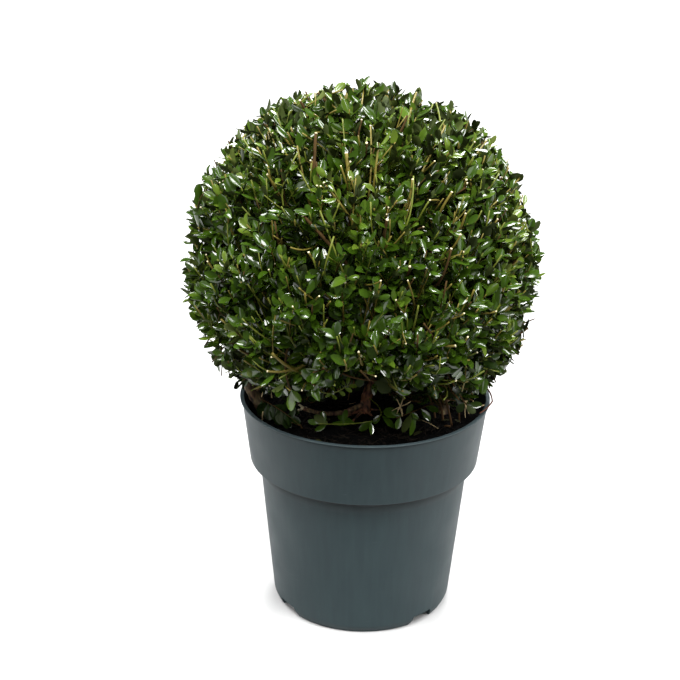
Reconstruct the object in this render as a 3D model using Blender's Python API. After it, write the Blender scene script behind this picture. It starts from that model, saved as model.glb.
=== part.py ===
"""A Japanese holly clipped to a ball, growing in a round nursery pot.

Metres, +Z up, origin on the pot's axis at the flat underside that it stands on. The front of the plant,
where the trailing sprig and the pruned bough show, faces -Y.

The pot is one moulded shell with a deep band under its rim and four drainage channels under its base.
Compost fills it, and five stems rise out of that. They carry a clipped crown, which is a dense core with
leafy shoots standing out of it, and three low sprays that hang over the compost. Meeting pieces keep a gap
of 0.3 mm.
"""

import math
import random

import bmesh
import bpy
from mathutils import Matrix, Vector

UP = Vector((0.0, 0.0, 1.0))
CLEARANCE = 0.0003

# Pot, as outer radii and heights
POT_HEIGHT = 0.250
RIM_RADIUS = 0.140
LIP_DEPTH = 0.005
LIP_OVERHANG = 0.0022
BAND_BOTTOM_RADIUS = 0.129
BAND_BOTTOM_Z = 0.1764
SHOULDER_RADIUS = 0.1172
SHOULDER_Z = 0.1621
BODY_BOTTOM_RADIUS = 0.1022
BODY_BOTTOM_Z = 0.0077
FOOT_RADIUS = 0.0978
WALL = 0.0022
BASE_THICKNESS = 0.003
POT_SEGMENTS = 64
SHARP_EDGE_DEG = 35.0

# Drainage channels: each runs out from under the base through a notch in the foot
NOTCH_AXIS_DEG = -5.75
NOTCH_SPREAD_DEG = 49.25
CHANNEL_START = 0.047
CHANNEL_HEIGHT = 0.0065
CHANNEL_FOOT_WIDTH = 0.036
CHANNEL_ROOF_WIDTH = 0.026
ROOF_END = 0.0905
ROOF_SIDE = 0.0025

# Compost
SOIL_TOP = 0.228
SOIL_SEGMENTS = 48

# Crown, a ball that is clipped all round
CROWN_CENTRE = Vector((-0.007, 0.0, 0.405))
CROWN_REACH = 0.199
CORE_RADIUS = 0.156
CORE_FLOOR = 0.281
CORE_LUMP = 0.004
CORE_FACES = 3
SHOOT_COUNT = 114
SHOOT_SINK = 0.014
SHOOT_LIFT = 0.40
SHOOT_RADIUS = 0.0016
SHOOT_SHORTFALL = (0.003, 0.015)
SHOOT_TURN_JITTER = 0.12
SHOOT_SIZES = (0.92, 1.08)
SHOOT_LEAVES = 5
SHOOT_BARE_SHARE = 0.42
LOWEST_ROOT = CORE_FLOOR + 0.008
FOLIAGE_FLOOR = 0.2580
CROWN_SEED = 27

# Leaves, larger than life because there are fewer of them
LEAF_LENGTH = 0.040
LEAF_WIDTH = 0.020
LEAF_THICKNESS = 0.0013
LEAF_WIDEST = 0.56
LEAF_DROOP = 0.10
LEAF_LEAN_DEG = (48.0, 74.0)
LEAF_SIZES = (0.86, 1.1)
LEAF_ROOT_SINK = 0.35
END_LEAF_LEAN = 0.5
LAST_LEAF_SHARE = 0.94
SIZE_TRIES = (1.0, 0.85, 0.7, 0.55)
GOLDEN_ANGLE = math.radians(137.508)

# Stems: name, foot azimuth in degrees from the front (-Y), foot distance, bend and tip as (azimuth,
# distance, height), then radius over the flare and at the tip
STEMS = (
    ("stem_centre", 0.0, 0.002, (160.0, 0.006, 0.252), (140.0, 0.012, 0.274), 0.0058, 0.0048),
    ("stem_left", -84.0, 0.108, (-81.0, 0.134, 0.268), (-83.0, 0.141, 0.300), 0.0066, 0.0052),
    ("stem_right", 93.0, 0.088, (95.0, 0.095, 0.253), (95.0, 0.104, 0.277), 0.0056, 0.0046),
    ("stem_back_left", -150.0, 0.078, (-152.0, 0.084, 0.253), (-154.0, 0.092, 0.275), 0.0060, 0.0050),
    ("stem_back_right", 146.0, 0.082, (148.0, 0.089, 0.253), (150.0, 0.098, 0.275), 0.0054, 0.0045),
)
FLARE = 1.65
FLARE_HEIGHT = 0.014
STUB_LENGTH = 0.045
STUB_STRAIGHT = 0.009
STUB_TAPER = 0.8
STUB_SIDES = 6
LIMB_SIDES = 12
LIMB_RINGS = 7
LIMB_CROWDING = 1.35
LIMB_BERTH = 0.0035
LIMB_TESTS = 10
TWIG_TESTS = 12
TWIG_SIDES = 3
TWIG_TAPER = (1.25, 0.8)
HALVINGS = 24

# The pruned bough lies over the compost from the middle stem to a saw cut at the front left
PRUNED_HEIGHT = 0.2405
PRUNED_END = Vector((-0.073, -0.022, 0.2435))
PRUNED_RADII = (0.0036, 0.0030)
PRUNED_STRAIGHT = 0.035

# Low sprays: name, stem that carries it, height on that stem, bend and tip of its twig, leaves
SPRAYS = (
    ("spray_front", "stem_centre", 0.246, (0.034, -0.050, 0.252), (-0.046, -0.066, 0.2465), 15),
    ("spray_front_right", "stem_right", 0.246, (0.070, -0.046, 0.251), (0.046, -0.086, 0.245), 11),
    ("spray_left", "stem_left", 0.248, (-0.090, -0.050, 0.252), (-0.066, -0.086, 0.245), 11),
)
SPRAY_RADIUS = 0.0015
SPRAY_TAPER = 0.45
SPRAY_RINGS = 8
SPRAY_FLOOR = SOIL_TOP + 0.002
SPRAY_CEILING = FOLIAGE_FLOOR - 0.002
SPRAY_REACH = RIM_RADIUS - 0.013
SPRAY_LEAF_SHARE = 0.52
SPRAY_BARE_SHARE = 0.22
SPRAY_LAST_SHARE = 0.985
SPRAY_LEAN_DEG = (38.0, 62.0)
SPRAY_LIFT = (-0.05, 0.35)
SPRAY_SIZES = (0.85, 1.1)
SPRAY_ROOT_SINK = 0.3
SPRAY_END_LEAN = 0.3

POT_PLASTIC = ("pot_plastic", (0.066, 0.088, 0.096), 0.42)
COMPOST = ("compost", (0.012, 0.008, 0.006), 0.95)
BARK = ("bark", (0.105, 0.066, 0.040), 0.85)
LEAF_GREEN = ("leaf", (0.030, 0.075, 0.014), 0.32)


def material_of(name, colour, roughness):
    """The material of that name, made on first use."""
    found = bpy.data.materials.get(name)
    if found:
        return found
    made = bpy.data.materials.new(name)
    made.use_nodes = True
    shader = made.node_tree.nodes["Principled BSDF"]
    shader.inputs["Base Color"].default_value = (*colour, 1.0)
    shader.inputs["Roughness"].default_value = roughness
    made.diffuse_color = (*colour, 1.0)
    return made


def add_object(name, bm, finish, collection=None):
    """A named object from a bmesh, which is freed."""
    mesh = bpy.data.meshes.new(name)
    bm.to_mesh(mesh)
    bm.free()
    made = bpy.data.objects.new(name, mesh)
    mesh.materials.append(material_of(*finish))
    (collection or bpy.context.scene.collection).objects.link(made)
    return made


def polar(azimuth_deg, distance, height):
    """A point by its azimuth from the front, seen from above and counted towards +X."""
    angle = math.radians(azimuth_deg)
    return Vector((distance * math.sin(angle), -distance * math.cos(angle), height))


def lathe(name, profile, segments, finish):
    """A body turned round Z from an open profile whose two ends lie on the axis."""
    bm = bmesh.new()
    points = [bm.verts.new((radius, 0.0, height)) for radius, height in profile]
    edges = [bm.edges.new(pair) for pair in zip(points, points[1:])]
    bmesh.ops.spin(
        bm,
        geom=points + edges,
        cent=(0.0, 0.0, 0.0),
        axis=(0.0, 0.0, 1.0),
        angle=2.0 * math.pi,
        steps=segments,
    )
    bmesh.ops.remove_doubles(bm, verts=bm.verts, dist=1e-6)
    bmesh.ops.recalc_face_normals(bm, faces=bm.faces)
    made = add_object(name, bm, finish)
    made.data.shade_smooth()
    made.data.set_sharp_from_angle(angle=math.radians(SHARP_EDGE_DEG))
    return made


def tapered_bar(bm, turn_deg, start, end, bottom, top, foot_width, top_width):
    """A bar that runs radially from start to end, turned round Z, with sloping sides."""
    corners = [
        Vector((side * width / 2.0, -distance, height))
        for distance in (start, end)
        for height, width in ((bottom, foot_width), (top, top_width))
        for side in (-1.0, 1.0)
    ]
    turn = Matrix.Rotation(math.radians(turn_deg), 4, "Z")
    points = [bm.verts.new(turn @ corner) for corner in corners]
    for face in ((0, 1, 3, 2), (4, 6, 7, 5), (0, 4, 5, 1), (2, 3, 7, 6), (0, 2, 6, 4), (1, 5, 7, 3)):
        bm.faces.new([points[index] for index in face])


def channel_bars(name, grow, top, roof_end, bottom, extra_width):
    """The four bars of the drainage channels, as one hidden cutter or block."""
    bm = bmesh.new()
    for opposite in (0.0, 180.0):
        for side in (-1.0, 1.0):
            tapered_bar(
                bm,
                NOTCH_AXIS_DEG + side * NOTCH_SPREAD_DEG + opposite,
                CHANNEL_START - grow,
                roof_end,
                bottom,
                top,
                CHANNEL_FOOT_WIDTH + extra_width,
                CHANNEL_ROOF_WIDTH + extra_width,
            )
    bmesh.ops.recalc_face_normals(bm, faces=bm.faces)
    helper = add_object(name, bm, POT_PLASTIC)
    helper.hide_render = True
    helper.display_type = "WIRE"
    return helper


def add_boolean(obj, operation, other):
    """A Boolean with the exact solver, left on the object."""
    modifier = obj.modifiers.new(other.name, "BOOLEAN")
    modifier.operation = operation
    modifier.object = other
    modifier.solver = "EXACT"


def inner_profile():
    """Radii and heights of the pot's inside, from the base up to the rim."""
    return [
        (FOOT_RADIUS - WALL, BASE_THICKNESS),
        (BODY_BOTTOM_RADIUS - WALL, BODY_BOTTOM_Z + WALL),
        (SHOULDER_RADIUS - WALL, SHOULDER_Z + WALL / 2.0),
        (BAND_BOTTOM_RADIUS - WALL, BAND_BOTTOM_Z + WALL / 2.0),
        (RIM_RADIUS - LIP_OVERHANG - WALL, POT_HEIGHT - WALL / 2.0),
    ]


def make_pot():
    """The moulded shell, its rim lip, and the channels that drain it."""
    lip_top = POT_HEIGHT - WALL / 2.0
    outside = [
        (0.0, 0.0),
        (FOOT_RADIUS, 0.0),
        (BODY_BOTTOM_RADIUS, BODY_BOTTOM_Z),
        (SHOULDER_RADIUS, SHOULDER_Z),
        (BAND_BOTTOM_RADIUS, BAND_BOTTOM_Z),
        (RIM_RADIUS - LIP_OVERHANG, POT_HEIGHT - LIP_DEPTH),
        (RIM_RADIUS, POT_HEIGHT - LIP_DEPTH),
        (RIM_RADIUS, lip_top),
        (RIM_RADIUS - WALL / 2.0, POT_HEIGHT),
        (RIM_RADIUS - LIP_OVERHANG - WALL / 2.0, POT_HEIGHT),
    ]
    inside = inner_profile()[::-1] + [(0.0, BASE_THICKNESS)]
    pot = lathe("pot", outside + inside, POT_SEGMENTS, POT_PLASTIC)
    roof_top = CHANNEL_HEIGHT + ROOF_SIDE
    in_the_base = BASE_THICKNESS / 2.0
    roofs = channel_bars("channel_roofs", ROOF_SIDE, roof_top, ROOF_END, in_the_base, 2.0 * ROOF_SIDE)
    cuts = channel_bars("channel_cuts", 0.0, CHANNEL_HEIGHT, RIM_RADIUS, -BASE_THICKNESS, 0.0)
    add_boolean(pot, "UNION", roofs)
    add_boolean(pot, "DIFFERENCE", cuts)
    return pot


def make_soil():
    """Compost that fills the pot to just under its rim, clear of the wall and the channel roofs."""
    walls = inner_profile()
    (low_r, low_z), (high_r, high_z) = walls[-2:]
    share = (SOIL_TOP - low_z) / (high_z - low_z)
    walls[-1] = (low_r + (high_r - low_r) * share, SOIL_TOP)
    walls[0] = (walls[0][0], BASE_THICKNESS + CLEARANCE)
    shrunk = [(radius - 2.0 * CLEARANCE, height) for radius, height in walls]
    profile = [(0.0, BASE_THICKNESS + CLEARANCE)] + shrunk + [(0.0, SOIL_TOP)]
    soil = lathe("soil", profile, SOIL_SEGMENTS, COMPOST)
    grow = ROOF_SIDE + CLEARANCE
    room = channel_bars(
        "channel_room",
        grow,
        CHANNEL_HEIGHT + grow,
        ROOF_END + CLEARANCE,
        BASE_THICKNESS / 2.0,
        2.0 * grow,
    )
    add_boolean(soil, "DIFFERENCE", room)
    return soil


def bend_point(start, control, end, share):
    """A point on the quadratic curve from start past control to end."""
    left = 1.0 - share
    return start * (left * left) + control * (2.0 * left * share) + end * (share * share)


def bend_direction(start, control, end, share):
    """The direction of that curve at a point on it."""
    return ((control - start) * (1.0 - share) + (end - control) * share).normalized()


def tube(bm, points, directions, radii, sides):
    """A closed tube through the points, each ring square to its direction."""
    rings = []
    side = directions[0].orthogonal().normalized()
    for point, direction, radius in zip(points, directions, radii):
        side = (side - direction * side.dot(direction)).normalized()
        across = direction.cross(side)
        rings.append(
            [
                bm.verts.new(
                    point
                    + side * (radius * math.cos(2.0 * math.pi * index / sides))
                    + across * (radius * math.sin(2.0 * math.pi * index / sides))
                )
                for index in range(sides)
            ]
        )
    for lower, upper in zip(rings, rings[1:]):
        for index in range(sides):
            after = (index + 1) % sides
            bm.faces.new((lower[index], lower[after], upper[after], upper[index]))
    bm.faces.new(rings[0][::-1])
    bm.faces.new(rings[-1])


class Limb:
    """A tapering limb along a quadratic curve, with the radius at any share of its length."""

    def __init__(self, start, control, end, start_radius, end_radius, flare=1.0):
        self.start = start
        self.control = control
        self.end = end
        self.start_radius = start_radius
        self.end_radius = end_radius
        self.flare = flare

    def point(self, share):
        """The centre of the limb at that share of its length."""
        return bend_point(self.start, self.control, self.end, share)

    def direction(self, share):
        """The way the limb grows there."""
        return bend_direction(self.start, self.control, self.end, share)

    def radius(self, share):
        """The limb's radius there, root flare included."""
        plain = self.start_radius + (self.end_radius - self.start_radius) * share
        rise = max(0.0, 1.0 - (self.point(share) - self.start).length / FLARE_HEIGHT)
        return plain * (1.0 + (self.flare - 1.0) * rise * rise)

    def share_at_height(self, height):
        """The share of the length at which a rising limb passes that height."""
        low, high = 0.0, 1.0
        for _ in range(HALVINGS):
            middle = (low + high) / 2.0
            if self.point(middle).z < height:
                low = middle
            else:
                high = middle
        return low

    def distance(self, point):
        """The gap between a point and the limb's bark."""
        shares = [step / LIMB_TESTS for step in range(LIMB_TESTS + 1)]
        return min((self.point(share) - point).length - self.radius(share) for share in shares)

    def side_seat(self, height, towards, own_radius):
        """Where a side limb of that radius starts at that height, and the way it leaves the bark."""
        share = self.share_at_height(height)
        way = self.direction(share)
        outward = towards - self.point(share)
        outward = (outward - way * outward.dot(way)).normalized()
        thickest = max(self.radius(share), self.radius(self.share_at_height(height - own_radius)))
        return self.point(share) + outward * (thickest + CLEARANCE), outward


def make_limb(name, limb, foot_direction):
    """A limb as a solid, whose first ring is cut square to the foot direction."""
    bm = bmesh.new()
    shares = [(step / (LIMB_RINGS - 1)) ** LIMB_CROWDING for step in range(LIMB_RINGS)]
    points = [limb.point(share) for share in shares]
    directions = [foot_direction] + [limb.direction(share) for share in shares[1:]]
    tube(bm, points, directions, [limb.radius(share) for share in shares], LIMB_SIDES)
    return add_object(name, bm, BARK)


def stem_limbs():
    """The five main stems by name."""
    limbs = {}
    for name, azimuth, distance, bend, tip, low_radius, high_radius in STEMS:
        foot = polar(azimuth, distance, SOIL_TOP + CLEARANCE)
        limbs[name] = Limb(foot, polar(*bend), polar(*tip), low_radius, high_radius, FLARE)
    return limbs


def pruned_limb(stem):
    """The pruned bough, from the side of its stem to its saw cut, and the way it leaves the stem."""
    start, outward = stem.side_seat(PRUNED_HEIGHT, PRUNED_END, PRUNED_RADII[0])
    return Limb(start, start + outward * PRUNED_STRAIGHT, PRUNED_END, *PRUNED_RADII), outward


def leaf_points(base, heading, face, size):
    """The six corners of a leaf: base, both sides, tip, and the top and bottom of its middle."""
    across = heading.cross(face).normalized()
    upward = across.cross(heading).normalized()
    middle = base + heading * (LEAF_LENGTH * LEAF_WIDEST * size)
    half = across * (LEAF_WIDTH / 2.0 * size)
    droop = upward * (-LEAF_DROOP * LEAF_LENGTH * size)
    thick = upward * (LEAF_THICKNESS / 2.0)
    tip = base + heading * (LEAF_LENGTH * size) + droop
    return [base, middle + half, tip, middle - half, middle + thick, middle - thick]


def add_leaf(points, collection):
    """One leaf of eight faces as its own object, ready to be fused."""
    bm = bmesh.new()
    base, right, tip, left, top, bottom = (bm.verts.new(point) for point in points)
    rim = (base, right, tip, left)
    for index in range(4):
        after = (index + 1) % 4
        bm.faces.new((rim[index], rim[after], top))
        bm.faces.new((rim[after], rim[index], bottom))
    bmesh.ops.recalc_face_normals(bm, faces=bm.faces)
    add_object("leaf", bm, LEAF_GREEN, collection)


def add_twig(start, end, low_radius, high_radius, collection):
    """A straight three-sided twig as its own object, ready to be fused."""
    bm = bmesh.new()
    direction = (end - start).normalized()
    tube(bm, (start, end), (direction, direction), (low_radius, high_radius), TWIG_SIDES)
    bmesh.ops.recalc_face_normals(bm, faces=bm.faces)
    add_object("twig", bm, LEAF_GREEN, collection)


def around(direction, angle):
    """A unit vector square to the direction, turned round it by the angle."""
    side = direction.orthogonal().normalized()
    return side * math.cos(angle) + direction.cross(side) * math.sin(angle)


def clear_of(limbs, points):
    """True if every point keeps clear of the limbs."""
    return all(limb.distance(point) > LIMB_BERTH for limb in limbs for point in points)


def fits(points, inside, limbs):
    """True if the leaf's corners, and points between them, keep to the space and clear of the limbs."""
    base, right, tip, left = points[:4]
    tested = (right, tip, left, (base + tip) / 2.0, (right + tip) / 2.0, (left + tip) / 2.0)
    return all(inside(point) for point in tested) and clear_of(limbs, tested)


def grow_leaves(start, end, size, rng, limbs, collection):
    """Leaves set spirally along a shoot, each rooted at its heart; the last points on past its tip."""
    axis = end - start
    direction = axis.normalized()
    turn = rng.uniform(0.0, 2.0 * math.pi)
    last = SHOOT_LEAVES - 1
    for index in range(SHOOT_LEAVES):
        share = SHOOT_BARE_SHARE + (1.0 - SHOOT_BARE_SHARE) * index / last
        outward = around(direction, turn + index * GOLDEN_ANGLE)
        lean = math.radians(rng.uniform(*LEAF_LEAN_DEG)) * (END_LEAF_LEAN if index == last else 1.0)
        heading = (direction * math.cos(lean) + outward * math.sin(lean)).normalized()
        face = (direction * math.sin(lean) - outward * math.cos(lean)).normalized()
        grown = size * rng.uniform(*LEAF_SIZES)
        base = start + axis * min(share, LAST_LEAF_SHARE) - heading * (SHOOT_RADIUS * LEAF_ROOT_SINK)
        for cut in SIZE_TRIES:
            points = leaf_points(base, heading, face, grown * cut)
            if fits(points, in_crown, limbs):
                add_leaf(points, collection)
                break


def in_crown(point):
    """True inside the clipped ball, above the pot's rim and the low sprays."""
    return (point - CROWN_CENTRE).length < CROWN_REACH and point.z > FOLIAGE_FLOOR


def add_core(name):
    """The dense heart of the crown: a lumpy ball, cut flat above the stems."""
    bm = bmesh.new()
    bmesh.ops.create_icosphere(bm, subdivisions=CORE_FACES, radius=CORE_RADIUS)
    for point in bm.verts:
        x, y, z = (axis / CORE_RADIUS for axis in point.co)
        wave = math.sin(5.0 * x + 1.3) * math.sin(6.0 * y + 0.4) + math.sin(7.0 * z + 2.0 * x)
        point.co += point.co.normalized() * (CORE_LUMP * wave - CORE_LUMP)
        point.co += CROWN_CENTRE
        point.co.z = max(point.co.z, CORE_FLOOR + 0.0005 * math.sin(90.0 * point.co.x))
    return add_object(name, bm, LEAF_GREEN)


def fuse(body, collection):
    """Joins everything in the collection to the body, then removes the loose pieces."""
    modifier = body.modifiers.new("fuse", "BOOLEAN")
    modifier.operation = "UNION"
    modifier.operand_type = "COLLECTION"
    modifier.collection = collection
    modifier.solver = "MANIFOLD"
    bpy.context.view_layer.update()
    graph = bpy.context.evaluated_depsgraph_get()
    joined = bpy.data.meshes.new_from_object(body.evaluated_get(graph))
    body.modifiers.clear()
    body.data = joined
    body.data.name = body.name
    for piece in list(collection.objects):
        bpy.data.objects.remove(piece)
    bpy.data.collections.remove(collection)


def add_stub(stem, collection):
    """The length of stem inside the crown, which faces the stem's tip across the clearance."""
    way = stem.direction(1.0)
    turned = (way + (CROWN_CENTRE - stem.end).normalized()).normalized()
    start = stem.end + way * CLEARANCE
    knee = start + way * STUB_STRAIGHT
    radii = (stem.end_radius, stem.end_radius, STUB_TAPER * stem.end_radius)
    bm = bmesh.new()
    tube(bm, (start, knee, knee + turned * STUB_LENGTH), (way, turned, turned), radii, STUB_SIDES)
    bmesh.ops.recalc_face_normals(bm, faces=bm.faces)
    add_object("stub", bm, LEAF_GREEN, collection)


def make_crown(limbs):
    """The clipped ball: its core, the stubs that meet the stems, and the leafy shoots."""
    rng = random.Random(CROWN_SEED)
    core = add_core("crown")
    loose = bpy.data.collections.new("crown_pieces")
    bpy.context.scene.collection.children.link(loose)
    for name in (stem[0] for stem in STEMS):
        add_stub(limbs[name], loose)
    for index in range(SHOOT_COUNT):
        height = 1.0 - 2.0 * (index + 0.5) / SHOOT_COUNT
        spread = math.sqrt(1.0 - height * height)
        angle = index * GOLDEN_ANGLE + rng.uniform(-SHOOT_TURN_JITTER, SHOOT_TURN_JITTER)
        outward = Vector((spread * math.cos(angle), spread * math.sin(angle), height))
        root = CROWN_CENTRE + outward * (CORE_RADIUS - SHOOT_SINK - CORE_LUMP)
        if root.z < LOWEST_ROOT:
            continue
        lift = SHOOT_LIFT * (1.0 - abs(height)) * min(1.0, 1.0 + height)
        growth = (outward + UP * lift).normalized()
        length = SHOOT_SINK + CROWN_REACH - CORE_RADIUS - rng.uniform(*SHOOT_SHORTFALL)
        tip = root + growth * length
        along_it = [root.lerp(tip, step / TWIG_TESTS) for step in range(TWIG_TESTS + 1)]
        if not in_crown(tip) or not clear_of(limbs.values(), along_it):
            continue
        add_twig(root, tip, SHOOT_RADIUS * TWIG_TAPER[0], SHOOT_RADIUS * TWIG_TAPER[1], loose)
        grow_leaves(root, tip, rng.uniform(*SHOOT_SIZES), rng, limbs.values(), loose)
    fuse(core, loose)
    return core


def in_spray(point):
    """True in the low space between the compost and the crown, inside the rim."""
    return SPRAY_FLOOR < point.z < SPRAY_CEILING and math.hypot(point.x, point.y) < SPRAY_REACH


def make_spray(name, stem, height, bend, tip, leaf_count, limbs, seed):
    """A low spray: a thin twig from the side of a stem, with small leaves on both sides of it."""
    rng = random.Random(seed)
    start, outward = stem.side_seat(height, bend, SPRAY_RADIUS)
    shares = [ring / (SPRAY_RINGS - 1) for ring in range(SPRAY_RINGS)]
    points = [bend_point(start, bend, tip, share) for share in shares]
    directions = [outward] + [bend_direction(start, bend, tip, share) for share in shares[1:]]
    bm = bmesh.new()
    tube(bm, points, directions, [SPRAY_RADIUS * (1.0 - SPRAY_TAPER * share) for share in shares], TWIG_SIDES)
    bmesh.ops.recalc_face_normals(bm, faces=bm.faces)
    twig = add_object(name, bm, LEAF_GREEN)
    loose = bpy.data.collections.new(name + "_pieces")
    bpy.context.scene.collection.children.link(loose)
    for index in range(leaf_count):
        along = SPRAY_BARE_SHARE + (1.0 - SPRAY_BARE_SHARE) * index / (leaf_count - 1)
        direction = bend_direction(start, bend, tip, along)
        side = direction.cross(UP).normalized() * (1.0 if index % 2 else -1.0)
        turned = SPRAY_END_LEAN if index == leaf_count - 1 else 1.0
        lean = math.radians(rng.uniform(*SPRAY_LEAN_DEG)) * turned
        lift = UP * rng.uniform(*SPRAY_LIFT)
        heading = (direction * math.cos(lean) + side * math.sin(lean) + lift).normalized()
        base = bend_point(start, bend, tip, min(along, SPRAY_LAST_SHARE))
        root = base - heading * (SPRAY_RADIUS * SPRAY_ROOT_SINK)
        corners = leaf_points(root, heading, UP, SPRAY_LEAF_SHARE * rng.uniform(*SPRAY_SIZES))
        if fits(corners, in_spray, limbs):
            add_leaf(corners, loose)
    fuse(twig, loose)
    return twig


def clear_scene():
    """Removes every object, so that the file can be run in any scene."""
    for obj in list(bpy.data.objects):
        bpy.data.objects.remove(obj)


def main():
    """Builds the pot, the compost, the stems and the foliage."""
    clear_scene()
    make_pot()
    make_soil()
    limbs = stem_limbs()
    for name, limb in limbs.items():
        make_limb(name, limb, UP)
    pruned, outward = pruned_limb(limbs["stem_centre"])
    make_limb("pruned_bough", pruned, outward)
    obstacles = dict(limbs, pruned_bough=pruned)
    make_crown(obstacles)
    for seed, (name, carrier, height, bend, tip, leaf_count) in enumerate(SPRAYS):
        stem = limbs[carrier]
        make_spray(name, stem, height, Vector(bend), Vector(tip), leaf_count, obstacles.values(), seed)


main()
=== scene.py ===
"""A Japanese holly clipped to a ball, in the blue-grey nursery pot it was grown in.

Metres, +Z up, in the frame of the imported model. The front of the plant faces -Y.
"""

import logging
import math
from dataclasses import dataclass
from enum import Enum
from typing import Callable

import bmesh
import bpy
import numpy as np
from mathutils import Matrix, Vector


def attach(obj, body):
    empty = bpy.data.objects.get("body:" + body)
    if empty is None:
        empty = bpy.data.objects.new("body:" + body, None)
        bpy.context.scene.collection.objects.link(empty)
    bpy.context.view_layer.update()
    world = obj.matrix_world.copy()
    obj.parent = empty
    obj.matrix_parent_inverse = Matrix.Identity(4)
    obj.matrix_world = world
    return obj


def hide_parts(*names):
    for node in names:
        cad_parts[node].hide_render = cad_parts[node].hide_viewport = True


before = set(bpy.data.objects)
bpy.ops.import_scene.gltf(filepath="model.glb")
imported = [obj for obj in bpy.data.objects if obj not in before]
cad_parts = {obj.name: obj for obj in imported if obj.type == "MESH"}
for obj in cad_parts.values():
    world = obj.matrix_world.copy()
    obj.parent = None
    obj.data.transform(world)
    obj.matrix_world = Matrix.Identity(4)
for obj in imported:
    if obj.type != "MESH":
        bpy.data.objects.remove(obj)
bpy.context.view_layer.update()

LOG = logging.getLogger("potted_holly")
Array = np.ndarray
Point = tuple[float, float, float]
Row = tuple[float, ...]
Relief = Callable[[Array, Array], Array]

BODY = "root"
MM = 0.001
FULL_TURN = 2.0 * math.pi
GOLDEN_ANGLE = math.radians(137.508)
UP = np.array((0.0, 0.0, 1.0))
IN_PLAN = np.array((1.0, 1.0, 0.0))
CAMERA_AT = (0.0, -1.5125, 0.9118)
POT_HEIGHT = 250.0 * MM

# Large primes that mix the numbers of a cell of the noise, how many values the cells are dealt, and a
# shift that keeps their numbers above 0.
CELL_PRIMES = (73856093, 19349663, 83492791)
NOISE_VALUES = 4096
NOISE_SHIFT = 1000.0

# A box's six sides, by corners that are numbered along its first axis, then its second, then its third.
BOX_SIDES = ((0, 2, 3, 1), (4, 5, 7, 6), (0, 1, 5, 4), (2, 6, 7, 3), (0, 4, 6, 2), (1, 3, 7, 5))


class Slot(Enum):
    """The record's material slots."""

    POT = "pot_plastic"
    COMPOST = "compost"
    BARK = "bark"
    FOLIAGE = "foliage"


# Nodes and materials


def linear(hex_colour: str) -> tuple[float, float, float, float]:
    """Turns an sRGB hex colour into a linear one.

    Args:
        hex_colour: The colour as "#rrggbb".

    Returns:
        Linear red, green and blue, and an alpha of 1.
    """
    channels = [int(hex_colour[place : place + 2], 16) / 255.0 for place in (1, 3, 5)]
    red, green, blue = (c / 12.92 if c <= 0.04045 else ((c + 0.055) / 1.055) ** 2.4 for c in channels)
    return red, green, blue, 1.0


def fill_inputs(tree: bpy.types.NodeTree, node: bpy.types.Node, **inputs: object) -> None:
    """Links or sets inputs of a node.

    Args:
        tree: The material's node tree.
        node: The node.
        **inputs: Its inputs, by name with _ for a space, or in_0, in_1 for those that share a name. An
            output socket is linked, and anything else is set as the value.
    """
    for name, value in inputs.items():
        key = int(name[3:]) if name.startswith("in_") else name.replace("_", " ")
        if isinstance(value, bpy.types.NodeSocket):
            tree.links.new(value, node.inputs[key])
        else:
            node.inputs[key].default_value = value


def add_node(
    tree: bpy.types.NodeTree, kind: str, settings: dict[str, str] | None = None, **inputs: object
) -> bpy.types.Node:
    """Adds one node to a material.

    Args:
        tree: The material's node tree.
        kind: The node's Blender type.
        settings: Properties of the node by name.
        **inputs: Its inputs, as in fill_inputs.

    Returns:
        The new node.
    """
    node = tree.nodes.new(kind)
    for name, value in (settings or {}).items():
        setattr(node, name, value)
    fill_inputs(tree, node, **inputs)
    return node


def fill_ramp(node: bpy.types.Node, stops: list[tuple[float, str]]) -> bpy.types.NodeSocket:
    """Sets the stops of a colour ramp.

    Args:
        node: The colour ramp node.
        stops: Positions with their hex colours, lowest first.

    Returns:
        The ramp's colour output.
    """
    ramp = node.color_ramp
    while len(ramp.elements) < len(stops):
        ramp.elements.new(1.0)
    for element, (position, colour) in zip(ramp.elements, stops):
        element.position = position
        element.color = linear(colour)
    return node.outputs["Color"]


def new_material(name: str) -> tuple[bpy.types.Material, bpy.types.NodeTree, bpy.types.Node]:
    """A material with its node tree and its Principled shader.

    Args:
        name: The material's name.

    Returns:
        The material, its node tree and its shader.
    """
    made = bpy.data.materials.new(name)
    made.use_nodes = True
    return made, made.node_tree, made.node_tree.nodes["Principled BSDF"]


def plain_material(name: str, colour: str, roughness: float, ior: float) -> bpy.types.Material:
    """A material of one colour and gloss, for a surface too small to show a grain of its own.

    Args:
        name: The material's name.
        colour: Its sRGB hex colour.
        roughness: Its roughness.
        ior: Its index of refraction.

    Returns:
        The material.
    """
    made, tree, shader = new_material(name)
    fill_inputs(tree, shader, Base_Color=linear(colour), Roughness=roughness, IOR=ior)
    return made


# Points and directions


def unit(vectors: Array) -> Array:
    """The vectors at length 1, along the last axis."""
    return vectors / np.maximum(np.linalg.norm(vectors, axis=-1, keepdims=True), 1e-9)


def square_to(vectors: Array) -> Array:
    """For each unit vector, some unit vector square to it."""
    helper = np.where(np.abs(vectors[..., 2:]) < 0.9, UP, np.array((1.0, 0.0, 0.0)))
    return unit(np.cross(vectors, helper))


def squared(vectors: Array, ways: Array) -> Array:
    """The vectors turned square to the ways, at length 1."""
    return unit(vectors - ways * np.sum(vectors * ways, axis=-1, keepdims=True))


def polar(azimuth_deg: float, distance: float, height: float) -> Array:
    """A point by its azimuth from the front, seen from above and counted towards +X."""
    angle = math.radians(azimuth_deg)
    return np.array((distance * math.sin(angle), -distance * math.cos(angle), height))


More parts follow.
